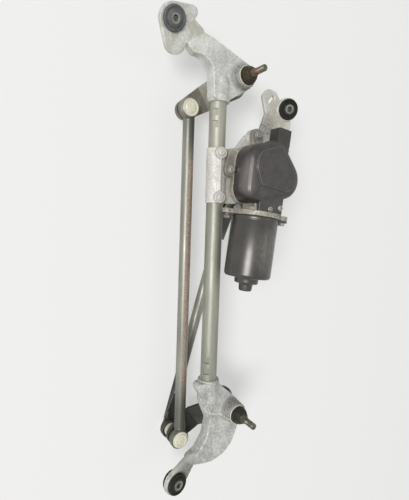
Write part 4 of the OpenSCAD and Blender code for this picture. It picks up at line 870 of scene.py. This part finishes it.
# %% Sockets
hollow = [(0.8, 6.6), (3.3, 5.77), (5.77, 3.3), (6.65, 0), (6.1, -2.6), (5.71, -3.4), (5.71, -4),
          (9.2, -4), (9.5, -3.7)]
crown = [(9.5, 6), (10.7, 6), (11, 6.3), (11, 7.6), (10.7, 8), (10.0, 8.1), (9.5, 8.0), (9.2, 8.3),
         (8.9, 9.2), (8.3, 9.8), (7.5, 10), (6.8, 9.9), (6.4, 9.4), (5.4, 9.3), (5.0, 9.6), (4.5, 9.9),
         (2.4, 9.95)]
rolled_crown = [(9.5, 6), (10.7, 6), (11, 6.3), (11, 8.5), (10.8, 9.0), (10.3, 9.2), (9.5, 9.2),
                (8.9, 9.0), (8.5, 8.7), (7.7, 8.7), (7.2, 9.0), (6.6, 9.6), (5.8, 9.95), (2.4, 10)]
left_socket = turned("link_left_nylon", hollow + crown, 64)
lever_socket = twin(left_socket, "drive_lever_nylon")
crank_socket = twin(left_socket, "drive_crank_nylon")
right_socket = turned("link_right_nylon", hollow + rolled_crown, 64)

# %% Where the sockets sit: upright on the link rod, upside down under the drive rod
lever_tip = (-41.939, 62.178)
crank_tip = (275.251, -25.588)
link_level, drive_level = -69.5, -94.5
upside_down = (180, "X")
left_ball = spot(*lever_tip, link_level)
right_ball = spot(lever_tip[0] + pivot_spacing, lever_tip[1], link_level)
lever_ball = spot(*lever_tip, drive_level, upside_down)
crank_ball = spot(*crank_tip, drive_level, upside_down)
placed(left_socket, left_ball, "link_rod", "nylon", cream_nylon, "link_left_socket")
placed(right_socket, right_ball, "link_rod", "nylon", cream_nylon, "link_right_socket")
placed(lever_socket, lever_ball, "drive_rod", "nylon", cream_nylon, "drive_lever_socket")
placed(crank_socket, crank_ball, "drive_rod", "nylon", cream_nylon, "drive_crank_socket")

# %% The rolled rim on the link rod's right eye
rim_outline = [(11.1, 6.05), (12.3, 6.05), (12.6, 6.5), (12.5, 7.6), (12.1, 8.4), (11.6, 8.7),
               (11.2, 8.5), (11.1, 8.0)]
rolled_rim = turned("link_right_rim", rim_outline, 64, closed=True)
placed(rolled_rim, right_ball, "link_rod", "rod_steel", link_rod_steel)

# %% [markdown]
# ## The motor can
# The can is drawn from sheet steel, so its rear corner is a soft curve and its bearing seat steps
# down in two rounded shoulders. It is turned like the rest, and its two bolt ears are short discs
# with bevelled edges, each with a tab that runs into the can.

# %% Can
motor = spot(316.080, -17.780, -16, (-6.7, "Z"))
along_motor = motor @ Matrix.Rotation(math.radians(90), 4, "Y")
can_outline = [(28.3, -53.2), (29.8, -53.2), (30, -53.5), (30, -57), (29.7, -57.6), (29.7, -58.4),
               (30, -59), (30, -126.5), (29.8, -128), (29.2, -129.4), (28.2, -130.4), (26.9, -130.9),
               (25.5, -131), (18.2, -131.1), (16.8, -131.4), (15.9, -132.1), (15.5, -133.2),
               (15.5, -136.8), (15.2, -138), (14.4, -138.8), (13.2, -139), (11, -139.05), (9.9, -139.4),
               (9.2, -140.2), (9, -141.2), (8.5, -146.6), (8.1, -148), (7.2, -148.8), (6.0, -149),
               (1.0, -149)]
can = turned("motor_can_drawn", can_outline, 96)
print("can outline of", len(can_outline), "points turned")

# %% The can's bolt ears
ear_radius = 7
ear_turns = (-19, 161)
bolt_circle = 37

def can_ear(name, turn):
    """A bolt ear on the can's front edge, with its tab."""
    deselect()
    bpy.ops.mesh.primitive_cylinder_add(vertices=40, radius=ear_radius * mm, depth=2.5 * mm)
    ear = bpy.context.object
    ear.name = name
    bpy.ops.object.mode_set(mode="EDIT")
    mesh = bmesh.from_edit_mesh(ear.data)
    for v in mesh.verts:
        v.select = v.co.y > 1 * mm
    bmesh.update_edit_mesh(ear.data)
    bpy.ops.transform.resize(value=(1, 0, 1), center_override=(0, ear_radius * mm, 0))
    mesh = bmesh.from_edit_mesh(ear.data)
    for edge in mesh.edges:
        edge.select = abs(edge.verts[0].co.z - edge.verts[1].co.z) < 1e-6
    bmesh.update_edit_mesh(ear.data)
    bpy.ops.mesh.select_mode(type="EDGE")
    bpy.ops.mesh.bevel(offset=0.5 * mm, segments=2)
    bpy.ops.object.mode_set(mode="OBJECT")
    ear.matrix_world = Matrix.Rotation(math.radians(turn), 4, "Z") @ spot(0, -bolt_circle, -54.3)
    return ear

ears = [can_ear(f"can_ear_{turn}", turn) for turn in ear_turns]
pick(can)
for ear in ears:
    ear.select_set(True)
bpy.ops.object.join()
placed(can, along_motor, "frame", "can_steel", can_paint, "motor_can")

# %% [markdown]
# ## Screws and bolts
# Flanged hexagon bolts hold the can and the gearbox, and low round screws hold the saddle and the
# cover. A hexagon is a turned piece with six sides, whose last ring is smaller for the chamfer. One
# of each kind is made, copied to its places, and the copies are joined into the piece that stands for
# their node.

# %% Fasteners
def joined(name, pieces):
    """Several pieces made one, with their places applied."""
    pick(pieces[0])
    for piece in pieces:
        piece.select_set(True)
    bpy.ops.object.transform_apply(location=True, rotation=True, scale=True)
    bpy.ops.object.join()
    pieces[0].name = name
    pieces[0].data.name = name
    return pieces[0]

def set_of(name, model, places, material, node):
    """Copies of a model at several places, joined into the piece that stands for a node."""
    copies = [twin(model, f"{name}_{number}") for number in range(len(places))]
    for copy, place in zip(copies, places):
        copy.matrix_world = place
    bpy.data.objects.remove(model)
    placed(joined(name, copies), Matrix.Identity(4), "frame", "zinc_steel", material, node)

def hex_bolt(name, shank):
    """A bolt with a round flange under a hexagon head."""
    collar_outline = [(2.5, -shank), (2.5, 0), (4.9, 0.02), (5.2, 0.3), (5.0, 0.8), (4.3, 1.1)]
    head_outline = [(4.55, 0.9), (4.55, 3.3), (4.3, 3.7), (3.6, 4.0), (2.9, 3.85), (0.6, 3.8)]
    return joined(name, [turned(name, collar_outline, 40), turned(name + "_head", head_outline, 6)])

mount_places = [motor @ spot(x, y, -15) for x, y in ((2, 36.5), (54, 2), (24, -60))]
can_places = [motor @ spot(0, 0, 0, (turn, "X")) @ spot(-55.5, -bolt_circle, 0, (-90, "Y"))
              for turn in ear_turns]
mount_bolt = hex_bolt("mount_bolt", 11.4)
set_of("motor_mount_bolt_set", mount_bolt, mount_places, bright_zinc, "motor_mount_bolts")
can_bolt = hex_bolt("can_bolt", 8)
set_of("can_bolt_set", can_bolt, can_places, bright_zinc, "can_bolts")

# %% Round screws
saddle_outline = [(2, 8.3), (2, 16.58), (3.9, 16.6), (4, 16.9), (4, 17.8), (3.7, 18.5), (2.9, 18.95),
                  (1.9, 19.0), (1.6, 18.6), (0.4, 18.5)]
cover_outline = [(1.5, 8.6), (1.5, 17.5), (3.8, 17.52), (4, 17.8), (3.9, 18.6), (3.2, 19.4), (2.1, 19.8),
                 (1.7, 19.8), (1.5, 19.0), (0.4, 18.9)]
saddle_places = [spot(x, 29, -50, (-8, "X")) for x in (286.75, 342.25)]
cover_places = [motor @ spot(x, y, 0) for x, y in ((-42, -8), (-38, -24))]
saddle_screw = turned("saddle_screw", saddle_outline, 40)
set_of("saddle_screw_set", saddle_screw, saddle_places, bracket_cast, "saddle_screws")
cover_screw = turned("cover_screw", cover_outline, 40)
set_of("cover_screw_set", cover_screw, cover_places, bright_zinc, "cover_screws")
